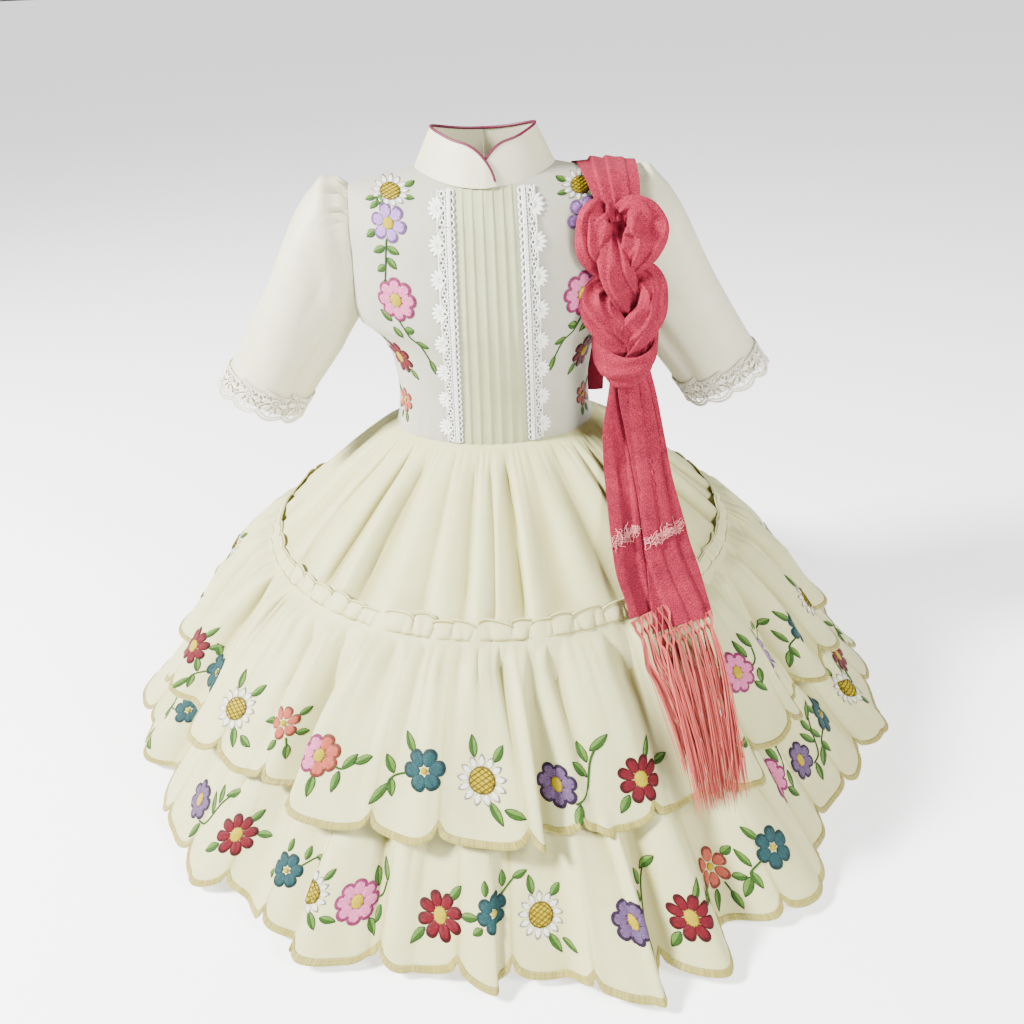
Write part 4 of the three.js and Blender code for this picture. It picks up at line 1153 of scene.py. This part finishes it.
UPPER_BACK = sequence([(kind, kind) for kind in ("red", "teal", "daisy", "pink", "violet", "daisy", "mixed")],
                      97, 13, -203, 4)
LOWER_BACK = sequence([(kind, kind) for kind in ("teal", "daisy", "violet", "red", "pink", "daisy", "salmon")],
                      95, 10.2, -298, 5)
BODICE_ROWS_MIRRORED = [(flower, sprig, -at, z + 1, turn, scale, -1)
                        for flower, sprig, at, z, turn, scale in BODICE_ROWS]
embroideries = {
    "upper_flounce_front": embroider("upper_flounce_front_embroidery", flounce("upper"), UPPER_ROWS),
    "lower_flounce_front": embroider("lower_flounce_front_embroidery", flounce("lower"), LOWER_ROWS),
    "bodice_left": embroider("bodice_front_left_embroidery", front, BODICE_ROWS),
    "bodice_right": embroider("bodice_front_right_embroidery", front, BODICE_ROWS_MIRRORED),
    "upper_flounce_back": embroider("upper_flounce_back_embroidery", flounce("upper"), UPPER_BACK),
    "lower_flounce_back": embroider("lower_flounce_back_embroidery", flounce("lower"), LOWER_BACK),
}

# ---- Guipure lace: one repeat is worked flat, then laid along the cloth ----


def thread(path, radius, sides=4, level=0.3):
    """A flat-worked cord through places across and up, closed at its ends."""
    path = np.array([(*at, level) for at in path], float)
    if len(path) > 2:
        path = finer(path, 2)
        soften(path, 1)
    made = new_grid(len(path), sides + 1)
    write_points(made, cord_rings(path, RELIEF * radius, sides).reshape(-1, 3))
    close_tube(made, 0.0005)
    return made


def ring(x, y, outer, inner, tall=1.0):
    """A corded ring round x, y, flattened a little."""
    bpy.ops.object.select_all(action="DESELECT")
    bpy.ops.mesh.primitive_torus_add(
        location=(x, y, 0.35), major_segments=14, minor_segments=5,
        major_radius=(outer + inner) / 2, minor_radius=(outer - inner) / 2)
    made = bpy.context.object
    made.scale = (1, tall, 0.8)
    bpy.ops.object.transform_apply(location=True, rotation=False, scale=True)
    return made


def lace_petal(x, y, distance, length, width, angle, open_middle=False):
    """A leaf of lace round x, y, with a sunk middle where it is open."""
    made = petal(distance, length, width, angle, LACE_THREAD, LACE_THREAD, pointed=0.35, puff=0.9)
    where = read_points(made)
    if open_middle:
        where[:, 2] = np.where(where[:, 2] > 0.75, 0.25, where[:, 2] + 0.25)
    write_points(made, where + (x, y, 0))
    return made


# The short bars that hold each repeat's parts together, from one place to another.
STRIP_BARS = (
    ((10.2, 4), (11, 4)), ((15.4, 4), (17.3, 4)), ((15.2, 6), (16.4, 8.6)), ((15.2, 2.2), (17.2, 1)),
    ((10.2, 28), (11, 28)), ((15.4, 28), (17.3, 28)), ((15.2, 26), (16.4, 23.4)), ((15.2, 29.8), (17.2, 31)),
    ((13.2, 6.6), (13.2, 13)), ((13.2, 19), (13.2, 25.4)), ((10.2, 16), (10.8, 16)), ((13.2, 0), (13.2, 1.4)),
    ((13.2, 30.6), (13.2, 32)), ((10.2, 10), (13.2, 10)), ((10.2, 22), (13.2, 22)), ((10.2, 0), (12, 1.6)),
    ((10.2, 32), (12, 30.4)))
CUFF_BARS = (
    ((-13.5, 12.6), (-13.5, 5.4)), ((-13.5, 9.5), (-9.8, 6.4)), ((-13.5, 9.5), (-9.2, 12)), ((13.5, 9.5), (9.8, 6.4)),
    ((13.5, 9.5), (9.2, 12)), ((-4.4, 7.5), (-6.6, 1.4)), ((4.4, 7.5), (6.6, 1.4)), ((-9, 7), (-7, 1.6)),
    ((9, 7), (7, 1.6)), ((0, 2.4), (0, -0.3)), ((-8.8, 18), (-4.8, 17)), ((8.8, 18), (4.8, 17)),
    ((-4, 20), (-6.5, 22.4)), ((4, 20), (6.5, 22.4)), ((-9.5, 20), (-9, 22.4)), ((9.5, 20), (9, 22.4)),
    ((-13.5, 20.4), (-13.5, 22.4)), ((0, 21.4), (0, 22.4)))


def strip_repeat():
    """Picots at the panel's side, a corded band, a column of rings, and a fan standing outwards."""
    pieces = []
    for k in range(5):
        y = 3.2 + 6.4 * k
        pieces.append(thread([(5, y - 3.2), (2.2, y - 2.4), (0.9, y), (2.2, y + 2.4), (5, y + 3.2)], 0.6))
    for x in (5.6, 7.3):
        pieces.append(thread([(x, 0), (x, 8), (x, 16), (x, 24), (x, 32)], 1.0, 6))
    pieces.append(thread([(10.1, 0), (9.9, 8), (10.1, 16), (9.9, 24), (10.1, 32)], 0.5))
    for k in range(10):
        pieces.append(thread([(7.6, 1.6 + 3.2 * k), (10.2, 1.6 + 3.2 * k)], 0.4))
    pieces += [ring(13.4, 16, 3.2, 1.3), ring(13.2, 4, 2.8, 1.3, 1.1), ring(13.2, 28, 2.8, 1.3, 1.1)]
    pieces.append(thread([(12.6, 19), (15.6, 22), (17.2, 26), (17.6, 32)], 0.6))
    pieces.append(thread([(17.6, 0), (17.2, 6), (15.6, 10), (12.6, 13)], 0.6))
    for path in STRIP_BARS:
        pieces.append(thread(path, 0.42))
    for k in range(-3, 4):
        reach = 14.0 - 0.22 * k * k
        pieces.append(lace_petal(13.4, 16, reach - 4.9, 4.9, 1.75, 22.5 * k))
        c, s = math.cos(math.radians(22.5 * k)), math.sin(math.radians(22.5 * k))
        pieces.append(thread([(13.4 + 2.6 * c, 16 + 2.6 * s), (13.4 + (reach - 9) * c, 16 + (reach - 9) * s)], 0.5))
    return join("lace_strip_repeat", pieces)


def cuff_repeat():
    """A corded heading, an oval and a flower ring, five leaves below it, and a scalloped double picot edge."""
    pieces = [thread([(-13.5, y), (0, y), (13.5, y)], 0.55) for y in (24.4, 22.4)]
    for k in range(9):
        x = -13.5 + 3 * k
        pieces.append(thread([(x, 22.4), (x + 1.5, 24.4), (x + 3, 22.4)], 0.3))
    pieces += [ring(0, 16.6, 4.8, 3.5), ring(0, 16.6, 1.8, 0.6), ring(13.5, 16.8, 4.6, 3.2, 0.85)]
    for k in range(8):
        c, s = math.cos(math.pi * k / 4), math.sin(math.pi * k / 4)
        pieces.append(thread([(1.5 * c, 16.6 + 1.5 * s), (3.8 * c, 16.6 + 3.8 * s)], 0.36))
    for k in range(-2, 3):
        pieces.append(lace_petal(0, 16.6, 10.2 - 0.3 * k * k, 4.5, 2.3, -90 + 41 * k, True))
    inner = [(-13.5, 5.2), (-9, 2.0), (-4.5, 0.2), (0, -0.4), (4.5, 0.2), (9, 2.0), (13.5, 5.2)]
    outer = [(x, y - 3.6) for x, y in inner]
    pieces += [thread(inner, 0.75), thread(outer, 0.8)]
    for k in range(12):
        x = -12.4 + 2.25 * k
        y = float(np.interp(x, [at[0] for at in inner], [at[1] for at in inner]))
        pieces.append(thread([(x, y), (x + 0.3, y - 3.6)], 0.45))
        pieces.append(thread([(x - 0.9, y - 3.8), (x, y - 5.2), (x + 0.9, y - 3.8)], 0.55))
    for path in CUFF_BARS:
        pieces.append(thread(path, 0.34))
    for k in range(-6, 7):
        for lean in (-1, 1):
            x = 4.5 * k
            rows = [(x + lean * (y - 12) * 0.55, y) for y in (1.5, 7, 12, 17, 22.4)]
            rows = [at for at in rows if abs(at[0]) <= 13.6 and at[1] > 1.0 + 3.6 * (at[0] / 13.5) ** 2]
            if len(rows) > 1:
                pieces.append(thread(rows, 0.22, 3, -0.3))
    return join("cuff_lace_repeat", pieces)


def beside_panel(out, z):
    return front(angle_of(panel_edge(z) + out, z), z)


def round_cuff(turn, up):
    return sleeve(turn, -np.asarray(up, float))


repeat = strip_repeat()
lace_left = join("lace_strip_left_guipure", [
    laid_form(repeat, beside_panel, 0.3, 2.0 + 30.6 * k, scale=0.957, stand=0.9) for k in range(8)])
smooth(lace_left, 60)
lace_right = mirror_copy(lace_left, "lace_strip_right_guipure")
bpy.data.objects.remove(repeat)

# Ten repeats of 27 mm go round the cuff, drawn in to its girth.
repeat = cuff_repeat()
all_round = np.linspace(0, 360, 721)
girth = run_of(round_cuff(all_round, np.full(len(all_round), -100.0)))
cuff_turns = np.interp(np.arange(10) * girth[-1] / 10, girth, all_round)
cuff_left = join("cuff_lace_left_guipure", [
    laid_form(repeat, round_cuff, turn, -100.5, scale=girth[-1] / 270, stand=1.3) for turn in cuff_turns])
smooth(cuff_left, 60)
cuff_right = mirror_copy(cuff_left, "cuff_lace_right_guipure")
bpy.data.objects.remove(repeat)
clear_patterns()

# ---- Rebozo: over the left shoulder, plaited in front, closed by a wrapped band ----

# The plait hangs this far in front of the middle of the dress.
PLAIT_Y = -68.0
# Each strand of it: its middle, how far it stands forward, its half width and how it is tipped.
STRANDS = {
    "a": table("at x z forward half tip", [
        (0, 121, 219, -5, 8, 0), (1, 131, 225, 3, 12, 5), (2, 141, 219, 9, 18, 8), (3, 145, 206, 12, 22, 6),
        (4, 140, 190, 12, 19, 0), (5, 128, 173, 4, 13, -4), (6, 112, 159, -5, 12, 0), (7, 99, 147, 3, 15, -6),
        (8, 103, 130, 11, 17, -4), (9, 117, 112, 12, 16, 0), (10, 130, 92, 6, 13, 0), (11, 132, 74, 2, 11, 0)]),
    "b": table("at x z forward half tip", [
        (0, 107, 226, -6, 8, 0), (1, 102, 224, 1, 12, -4), (2, 97, 216, 6, 15, -8), (3, 96, 194, 8, 16, -6),
        (4, 107, 174, 0, 13, 0), (5, 126, 165, -6, 12, 0), (6, 145, 164, 2, 13, 8), (7, 155, 150, 7, 14, 10),
        (8, 153, 132, 10, 16, 8), (9, 140, 113, 10, 17, 2), (10, 124, 94, 8, 14, 0), (11, 118, 74, 2, 11, 0)]),
    "c": table("at x z forward half tip", [
        (0, 116, 232, -9, 9, 0), (1, 116, 224, -5, 13, 0), (2, 115, 209, -1, 15, 0), (3, 116, 190, 7, 17, -3),
        (4, 119, 170, 12, 17, 0), (5, 127, 149, 9, 15, 4), (6, 140, 126, -4, 13, 4), (7, 150, 106, -3, 13, 6),
        (8, 148, 88, 2, 13, 2), (9, 142, 72, 0, 10, 0)]),
}
TAIL_EDGES = table("at left fold right", [
    (-0.5, -1.05, -0.66, 1.25), (0, -0.97, -0.58, 1.22), (1, -1.0, -0.26, 1.11), (2, -1.0, -0.16, 1.07),
    (3, -1.03, -0.14, 1.04), (4, -0.97, -0.12, 1.12), (5, -0.95, -0.27, 1.14), (6, -0.98, -0.42, 1.08),
    (7, -1.04, -0.6, 1.06)])


def crease(u, lip, depth, width=0.5):
    """A lapped fold: it rises slowly to its lip, and drops at once."""
    away = u - lip
    return depth * np.where(away > 0, np.exp(-(away / 0.05) ** 2), np.exp(-(away / width) ** 2))


def strand(name, rows, seed):
    """A band of soft cloth folded on itself, its lapped folds running along it."""
    count, sides = 120, 78
    at = np.linspace(0, rows["at"][-1], count)
    row = lambda column: read(rows, column, at, "at")
    path = points(row("x"), PLAIT_Y - row("forward"), row("z"))
    soften(path, 4)
    ahead = unit(np.gradient(path, axis=0))
    side = unit(np.cross(ahead, (0.16, -0.97, 0.14)))
    over = np.cross(side, ahead)
    tip = np.radians(row("tip"))[:, None]
    side, over = side * np.cos(tip) + over * np.sin(tip), over * np.cos(tip) - side * np.sin(tip)
    on_top, below = np.linspace(0, np.pi, 2 * sides // 3), np.linspace(np.pi, 2 * np.pi, sides // 3 + 2)[1:]
    turn = np.concatenate([on_top, below])
    c, s = np.cos(turn)[None], np.sin(turn)[None]
    u = np.broadcast_to(c, (count, len(turn)))
    down = at[:, None]
    top = 6.0 * np.abs(s) ** 0.7
    for k, (middle, depth) in enumerate(((-0.68, 3.2), (-0.28, 4.4), (0.16, 3.6), (0.56, 4.2), (0.84, 2.4))):
        own = middle + 0.17 * np.sin(down * 1.35 + seed + k) + 0.08 * np.sin(down * 2.9 + 7 * middle + seed)
        strength = np.clip(0.55 + 0.6 * np.sin(down * 1.25 + 2.4 * k + 1.7 * seed), 0, 1)
        lip = crease(u, own, 1.0, 0.3) if (k + seed) % 3 else crease(-u, -own, 1.0, 0.3)
        top = top + (lip - 0.3) * depth * strength * np.abs(s) ** 0.9
    pull = np.sin(down * 7.5 + 3.0 * u + seed) * np.clip(np.sin(down * 1.9 + seed), 0, 1)
    begin = 0.25 + 0.75 * ease(down / 1.1)
    height = np.where(s >= 0, (top + 0.7 * pull * np.abs(s)) * begin, -5.0 * begin * np.abs(s) ** 0.8)
    if name == "a":
        # Its uppermost turn is a loop, hollow inside.
        hollow = np.exp(-((down - 2.7) / 0.75) ** 2 - ((u + 0.1) / 0.42) ** 2)
        rim = np.exp(-((down - 1.9) / 0.7) ** 2) * np.clip(u + 0.2, 0, 1)
        rim = rim + 0.8 * np.exp(-((down - 3.6) / 0.4) ** 2) * ease(0.8 - u)
        height = np.where(s >= 0, height - 9.0 * hollow + 3.2 * rim * np.abs(s), height)
    half = (row("half") * 1.02)[:, None]
    where = path[:, None] + side[:, None] * (half * u)[..., None] + over[:, None] * height[..., None]
    piece = spread_grid(f"rebozo_plait_strand_{name}_cloth", where)
    close_tube(piece, 0.00001)
    smooth(piece, 60)
    return piece


strands = {name: strand(name, rows, seed) for seed, (name, rows) in enumerate(STRANDS.items(), 2)}


def stretch(rows, relief=None):
    """A length of the rebozo as a surface: across it from -1 to 1, and along it by its table's rows."""

    def surface(across, at):
        across, at = np.broadcast_arrays(np.asarray(across, float), np.asarray(at, float))
        turn = np.radians(read(rows, "turn", at, "at"))
        reach = read(rows, "half", at, "at") * across
        p = points(read(rows, "x", at, "at") + reach * np.cos(turn), read(rows, "y", at, "at") + reach * np.sin(turn),
                   read(rows, "z", at, "at"))
        if relief:
            p = p + relief(across, at)
        return p

    return surface


def shoulder_folds(across, at):
    """The band over the shoulder is lapped twice along its inner side, and its selvage is folded in."""
    rise = 1.6 + crease(-across, 0.66 - 0.07 * at, 3.4, 0.35) + crease(-across, 0.2 - 0.08 * at, 2.8, 0.3)
    rise = rise + crease(across, 0.5 + 0.03 * at, 1.5, 0.25) + 0.5 * np.sin(at * 2.2 + across * 3)
    up = np.clip((at - 1) / 2, 0, 1)
    ahead = np.clip((2.6 - at) / 2, 0, 1)
    return points(0 * rise, -rise * ahead, rise * up)


def back_folds(across, at):
    rise = 1.2 + 1.5 * np.sin(across * 4.2 + 0.4 * at) * np.clip(at, 0, 1)
    rise = rise + crease(across, 0.35 + 0.05 * np.sin(at), 1.6)
    level = np.clip((at + 0.2) / 1.4, 0, 1)
    return points(0 * rise, rise * level, rise * (1 - level))


over_shoulder = cloth("rebozo_over_shoulder_cloth", stretch(REBOZO_OVER_SHOULDER, shoulder_folds),
                      np.linspace(-1, 1, 80)[None], np.linspace(-0.8, 3.99, 44)[:, None], 1.4)
down_back = cloth("rebozo_back_cloth", stretch(REBOZO_BACK, back_folds),
                  np.linspace(-1, 1, 56)[None], np.linspace(0.01, 5, 70)[:, None], 1.4)


def wrapped(turn, down):
    """The band that closes the plait: its upper edge dips in front, and its lower layer shows below the lap."""
    c, s = np.cos(np.radians(turn)), np.sin(np.radians(turn))
    turn, down = np.broadcast_arrays(np.asarray(turn, float), np.asarray(down, float))
    ahead = np.clip(s, 0, 1)
    top = 107 - 5 * c - 19 * ahead ** 1.3 - 8 * np.clip(-s, 0, 1)
    bottom = 61 - 7 * ahead + 2 * c
    swell = np.interp(down, (0, 0.06, 0.3, 0.6, 0.85, 1), (0.93, 1, 1.03, 0.97, 0.8, 0.62))
    lap = 2.6 * np.where(down < 0.62 - 0.16 * c, 1, np.exp(-((down - 0.62 + 0.16 * c) / 0.03) ** 2))
    wrinkle = 0.8 * np.sin(down * 16 + 2.2 * c) * s + 0.5 * np.sin(3 * np.radians(turn) + 9 * down)
    wide, deep = 29 * swell + lap + wrinkle, 16 * swell + lap + wrinkle
    return points(mix(128, 131.5, down) + wide * c, PLAIT_Y - deep * s, mix(top, bottom, down))


wrap = cloth("rebozo_wrap_cloth", wrapped, np.linspace(0, 360, 101)[None], np.linspace(1, 0, 51)[:, None], 2.2,
             joined=True, side=-1)


def tail_relief(folds):
    """The lapped folds of a free end, each with its middle, depth and width."""

    def relief(across, at):
        rise = 0 * across
        for middle, depth, width in folds:
            rise = rise + crease(across, middle + 0.06 * np.sin(at * 1.1 + middle), depth, width)
        rise = rise + 0.9 * np.sin(across * 3.1 + at * 0.8) * np.clip(at / 2, 0, 1)
        turn = np.radians(read(REBOZO_TAIL, "turn", at, "at"))
        return points(rise * np.sin(turn) * 0.8, -rise * np.cos(turn) * 0.8,
                      rise * 0.6 * np.clip((at - 1.5) / 2, 0, 1))

    return relief


def tail(name, left, right, lift, last, skew, folds):
    """A free end between two edges, each a column of the table of edges or one number."""
    rows, columns = 90, 64
    at = np.linspace(-0.75, last, rows)[:, None]
    share = np.linspace(0, 1, columns)[None]
    low = read(TAIL_EDGES, left, at, "at") if isinstance(left, str) else left
    high = read(TAIL_EDGES, right, at, "at") if isinstance(right, str) else right
    across = mix(low, high, share)
    at = at + skew * (share - 0.5) * ease((at - 4) / 3)
    return cloth(name, stretch(REBOZO_TAIL, tail_relief(folds)), across, at, 1.2, side=-1, above=lift)


UNDER_FOLDS = ((-0.72, 2.6, 0.4), (-0.3, -2.4, 0.3))
OVER_FOLDS = ((0.72, 2.6, 0.4), (0.3, 1.6, 0.4), (-0.05, -1.4, 0.25))
end_under = tail("rebozo_end_under_cloth", "left", 0.12, 1.4, 5.7, 0.35, UNDER_FOLDS)
end_over = tail("rebozo_end_over_cloth", "fold", "right", 4.6, 6.7, 0.45, OVER_FOLDS)

# ---- Fringe: fine threads knotted in a net, then falling together ----


def fringe(name, seed, count, lock_count, low, high, top, lift):
    """Threads that leave the cloth's edge, meet at two rows of knots, and fall in uneven locks."""
    dice = np.random.default_rng(seed)
    steps = np.concatenate([[0, 0.03, 0.06, 0.09, 0.13], np.linspace(0.18, 1, 12)])
    start = np.linspace(low, high, count) + dice.normal(0, 0.008, count)
    locks = np.linspace(low + 0.06, high - 0.06, lock_count)
    between = (locks[1:] + locks[:-1]) / 2
    near_lock, near_between = [np.abs(start[:, None] - middles).argmin(1) for middles in (locks, between)]
    knot_1, knot_2 = locks[near_lock], between[near_between]
    lock = dice.uniform(-0.05, 0.05, len(between))[near_between]
    surface = stretch(REBOZO_FRINGE)
    join_on = stretch(REBOZO_TAIL)
    rings = []
    for i in range(count):
        spread = dice.normal(0, 0.06)
        end = np.interp(start[i], (low, high), (low * 0.2, high * 0.98)) + spread * 1.3
        across = np.interp(steps, (0, 0.06, 0.13, 0.35, 0.75, 1),
                           (start[i], knot_1[i] + spread * 0.12, knot_2[i] + spread * 0.2,
                            mix(knot_2[i], start[i], 0.35) + lock[i] + spread * 0.7,
                            mix(knot_2[i], end, 0.55) + spread, end + spread))
        across = across + 0.02 * np.sin(steps * 9 + i * 1.7) * steps
        reach = steps * (3.02 + dice.normal(0, 0.1)) - 0.02
        stand = lift + dice.uniform(0, 4.5) * np.interp(steps, (0, 0.1, 0.5, 1), (0.4, 0.9, 1, 0.8))
        path = surface(across, np.clip(reach + top, 0, 3.4))
        if top < 0:
            high_up = reach + top < 0
            path[high_up] = join_on(across[high_up], 7 + (reach + top)[high_up] * 1.9)
        out = -normals(surface, across, np.clip(reach + top, 0.01, 3.2))
        path = path + out * stand[:, None]
        path[:, 2] -= 5 * np.clip(steps - 0.9, 0, 1) * dice.uniform(-1, 3)
        rings.append(cord_rings(path, np.interp(steps, (0, 0.9, 1), (0.42, 0.34, 0.16)), 3))
    return threads_of(name, np.array(rings))


def threads_of(name, rings):
    """Many fine threads in one piece: each is a narrow tube, its UV across it giving its own shade."""
    rows, sides = rings.shape[1:3]
    one = new_grid(rows, sides)
    along = np.arange(rows * sides) // sides * 0.01
    copies = []
    for i, rings_of_one in enumerate(rings):
        made = copy_of(one)
        place(made, rings_of_one)
        write_uv(made, np.stack([np.full(len(along), (i + 0.5) / STITCHES), along], 1))
        copies.append(made)
    bpy.data.objects.remove(one)
    piece = join(name, copies)
    in_edit(piece, lambda: (
        bpy.ops.mesh.remove_doubles(threshold=0.00001),
        bpy.ops.mesh.normals_make_consistent(inside=False)))
    smooth(piece, 80)
    return piece


fringe_under = fringe("rebozo_fringe_under_threads", 5, 150, 6, -0.97, 0.08, -0.66, 2.0)
fringe_over = fringe("rebozo_fringe_over_threads", 6, 280, 9, -0.52, 1.05, -0.12, 5.0)


def frayed_line(name, surface, low, high, at, lift, seed, count):
    """Loose ends of pale thread drawn through the cloth in an uneven line."""
    dice = np.random.default_rng(seed)
    rings = []
    for i in range(count):
        a = dice.uniform(low, high)
        b = at + dice.normal(0, 0.055)
        heading, length = dice.uniform(0, 2 * np.pi), dice.uniform(1.5, 4.5)
        t = np.linspace(-1, 1, 5)
        across = a + t * length * math.cos(heading) / 30 + 0.02 * np.sin(3 * t + i)
        down = b + t * length * math.sin(heading) / 45 + 0.012 * np.cos(4 * t + i)
        stand = lift + 0.6 + 1.1 * (1 - t ** 2) * dice.uniform(0.3, 1)
        path = surface(across, down) - normals(surface, across, down) * stand[:, None]
        rings.append(cord_rings(path, 0.3, 3))
    return threads_of(name, np.array(rings))


under_cloth, over_cloth = [stretch(REBOZO_TAIL, tail_relief(folds)) for folds in (UNDER_FOLDS, OVER_FOLDS)]
frayed_under = frayed_line("rebozo_frayed_line_under", under_cloth, -1.0, -0.2, 3.55, 1.6, 7, 80)
frayed_over = frayed_line("rebozo_frayed_line_over", over_cloth, -0.1, 1.04, 3.85, 4.8, 8, 120)

# ---- Sewing the pieces to the dress ----

finish(panel, PANEL, "tucked_panel", "bodice_front_centre")
finish(bodice_left, BODICE, "cream_satin", "bodice_front_left")
finish(bodice_right, BODICE, "cream_satin", "bodice_front_right")
finish(back_left, BODICE, "cream_satin", "bodice_back_left")
finish(back_right, BODICE, "cream_satin", "bodice_back_right")
finish(collar_left, IVORY, "cream_satin", "collar_left")
finish(collar_right, IVORY, "cream_satin", "collar_right")
finish(piping_left, PIPING, "rose_piping", "collar_piping_left")
finish(piping_right, PIPING, "rose_piping", "collar_piping_right")
finish(sleeve_left, IVORY, "cream_satin", "sleeve_left")
finish(sleeve_right, IVORY, "cream_satin", "sleeve_right")
for half in ("front", "back"):
    finish(whole_skirt[half], CREAM, "cream_satin", f"skirt_{half}")
    finish(headings[half], CREAM, "cream_satin", f"upper_flounce_heading_{half}")
    finish(stitching[half], HEM_THREAD, None)
    for tier in TIERS:
        finish(flounces[tier, half], CREAM, "cream_satin", f"{tier}_flounce_{half}")

for piece in embroideries.values():
    finish(piece, None, None)
for piece in hems.values():
    finish(piece, HEM_THREAD, None)
finish(lace_left, LACE_THREAD, "guipure_lace", "lace_strip_left")
finish(lace_right, LACE_THREAD, "guipure_lace", "lace_strip_right")
finish(cuff_left, ECRU_THREAD, "guipure_lace", "cuff_lace_left")
finish(cuff_right, ECRU_THREAD, "guipure_lace", "cuff_lace_right")
finish(over_shoulder, CORAL, "coral_rebozo", "rebozo_over_shoulder")
finish(down_back, CORAL, "coral_rebozo", "rebozo_back")
for name, piece in strands.items():
    finish(piece, CORAL, "coral_rebozo", f"rebozo_plait_strand_{name}")
finish(wrap, CORAL, "coral_rebozo", "rebozo_wrap")
finish(end_under, CORAL, "coral_rebozo", "rebozo_end_under")
finish(end_over, CORAL, "coral_rebozo", "rebozo_end_over")
finish(fringe_under, FRINGE_THREAD, "rebozo_fringe", "rebozo_fringe_under")
finish(fringe_over, FRINGE_THREAD, "rebozo_fringe", "rebozo_fringe_over")
finish(frayed_under, FRAYED_THREAD, "rebozo_fringe")
finish(frayed_over, FRAYED_THREAD, "rebozo_fringe")

# ---- Floor, light and camera ----

bpy.ops.object.select_all(action="DESELECT")
bpy.ops.mesh.primitive_plane_add(size=900, location=(0, 0, solid_box[0][2] - 0.012))
floor = bpy.context.object
floor.name = "studio_floor"
paper = bpy.data.materials.new("Pale studio paper")
paper.use_nodes = True
set_inputs(paper.node_tree.nodes["Principled BSDF"], {
    "Base Color": (0.88, 0.88, 0.88, 1), "Roughness": 0.9, "Emission Color": (1, 1, 1, 1), "Emission Strength": 1.3})
floor.data.materials.append(paper)

world = bpy.data.worlds.new("Studio")
bpy.context.scene.world = world
world.use_nodes = True
set_inputs(world.node_tree.nodes["Background"], {"Color": (1.0, 1.0, 1.0, 1), "Strength": 0.2})


def softbox(name, where, size, power):
    """A square white light in metres and watts, aimed at the dress."""
    lamp = bpy.data.lights.new(name, "AREA")
    lamp.energy, lamp.size = power, size
    made = bpy.data.objects.new(name, lamp)
    bpy.context.scene.collection.objects.link(made)
    made.location = where
    direction = Vector((0, 0, -0.2)) - Vector(where)
    made.rotation_euler = direction.to_track_quat("-Z", "Y").to_euler()


softbox("key_softbox", (-2.15, -0.7, 1.45), 0.55, 490)
softbox("fill_softbox", (1.8, -1.7, 1.15), 1.0, 150)

# The camera: its focal length and film width in millimetres, how far it looks down and rolls in degrees, its place.
FOCAL, FILM, SHIFT = 35.1, 36.0, 0.0127
DOWN, ROLL = 28.1, -2.4
CAMERA_PLACE = (0, -1.0, 0.154)
lens = bpy.data.cameras.new("Camera")
lens.lens, lens.sensor_width, lens.shift_x = FOCAL, FILM, SHIFT
camera = bpy.data.objects.new("Camera", lens)
bpy.context.scene.collection.objects.link(camera)
tilt = Euler((math.radians(90 - DOWN), 0, 0)).to_matrix() @ Euler((0, 0, math.radians(ROLL))).to_matrix()
camera.rotation_euler = tilt.to_euler()
camera.location = CAMERA_PLACE
bpy.context.scene.camera = camera

bpy.context.view_layer.update()
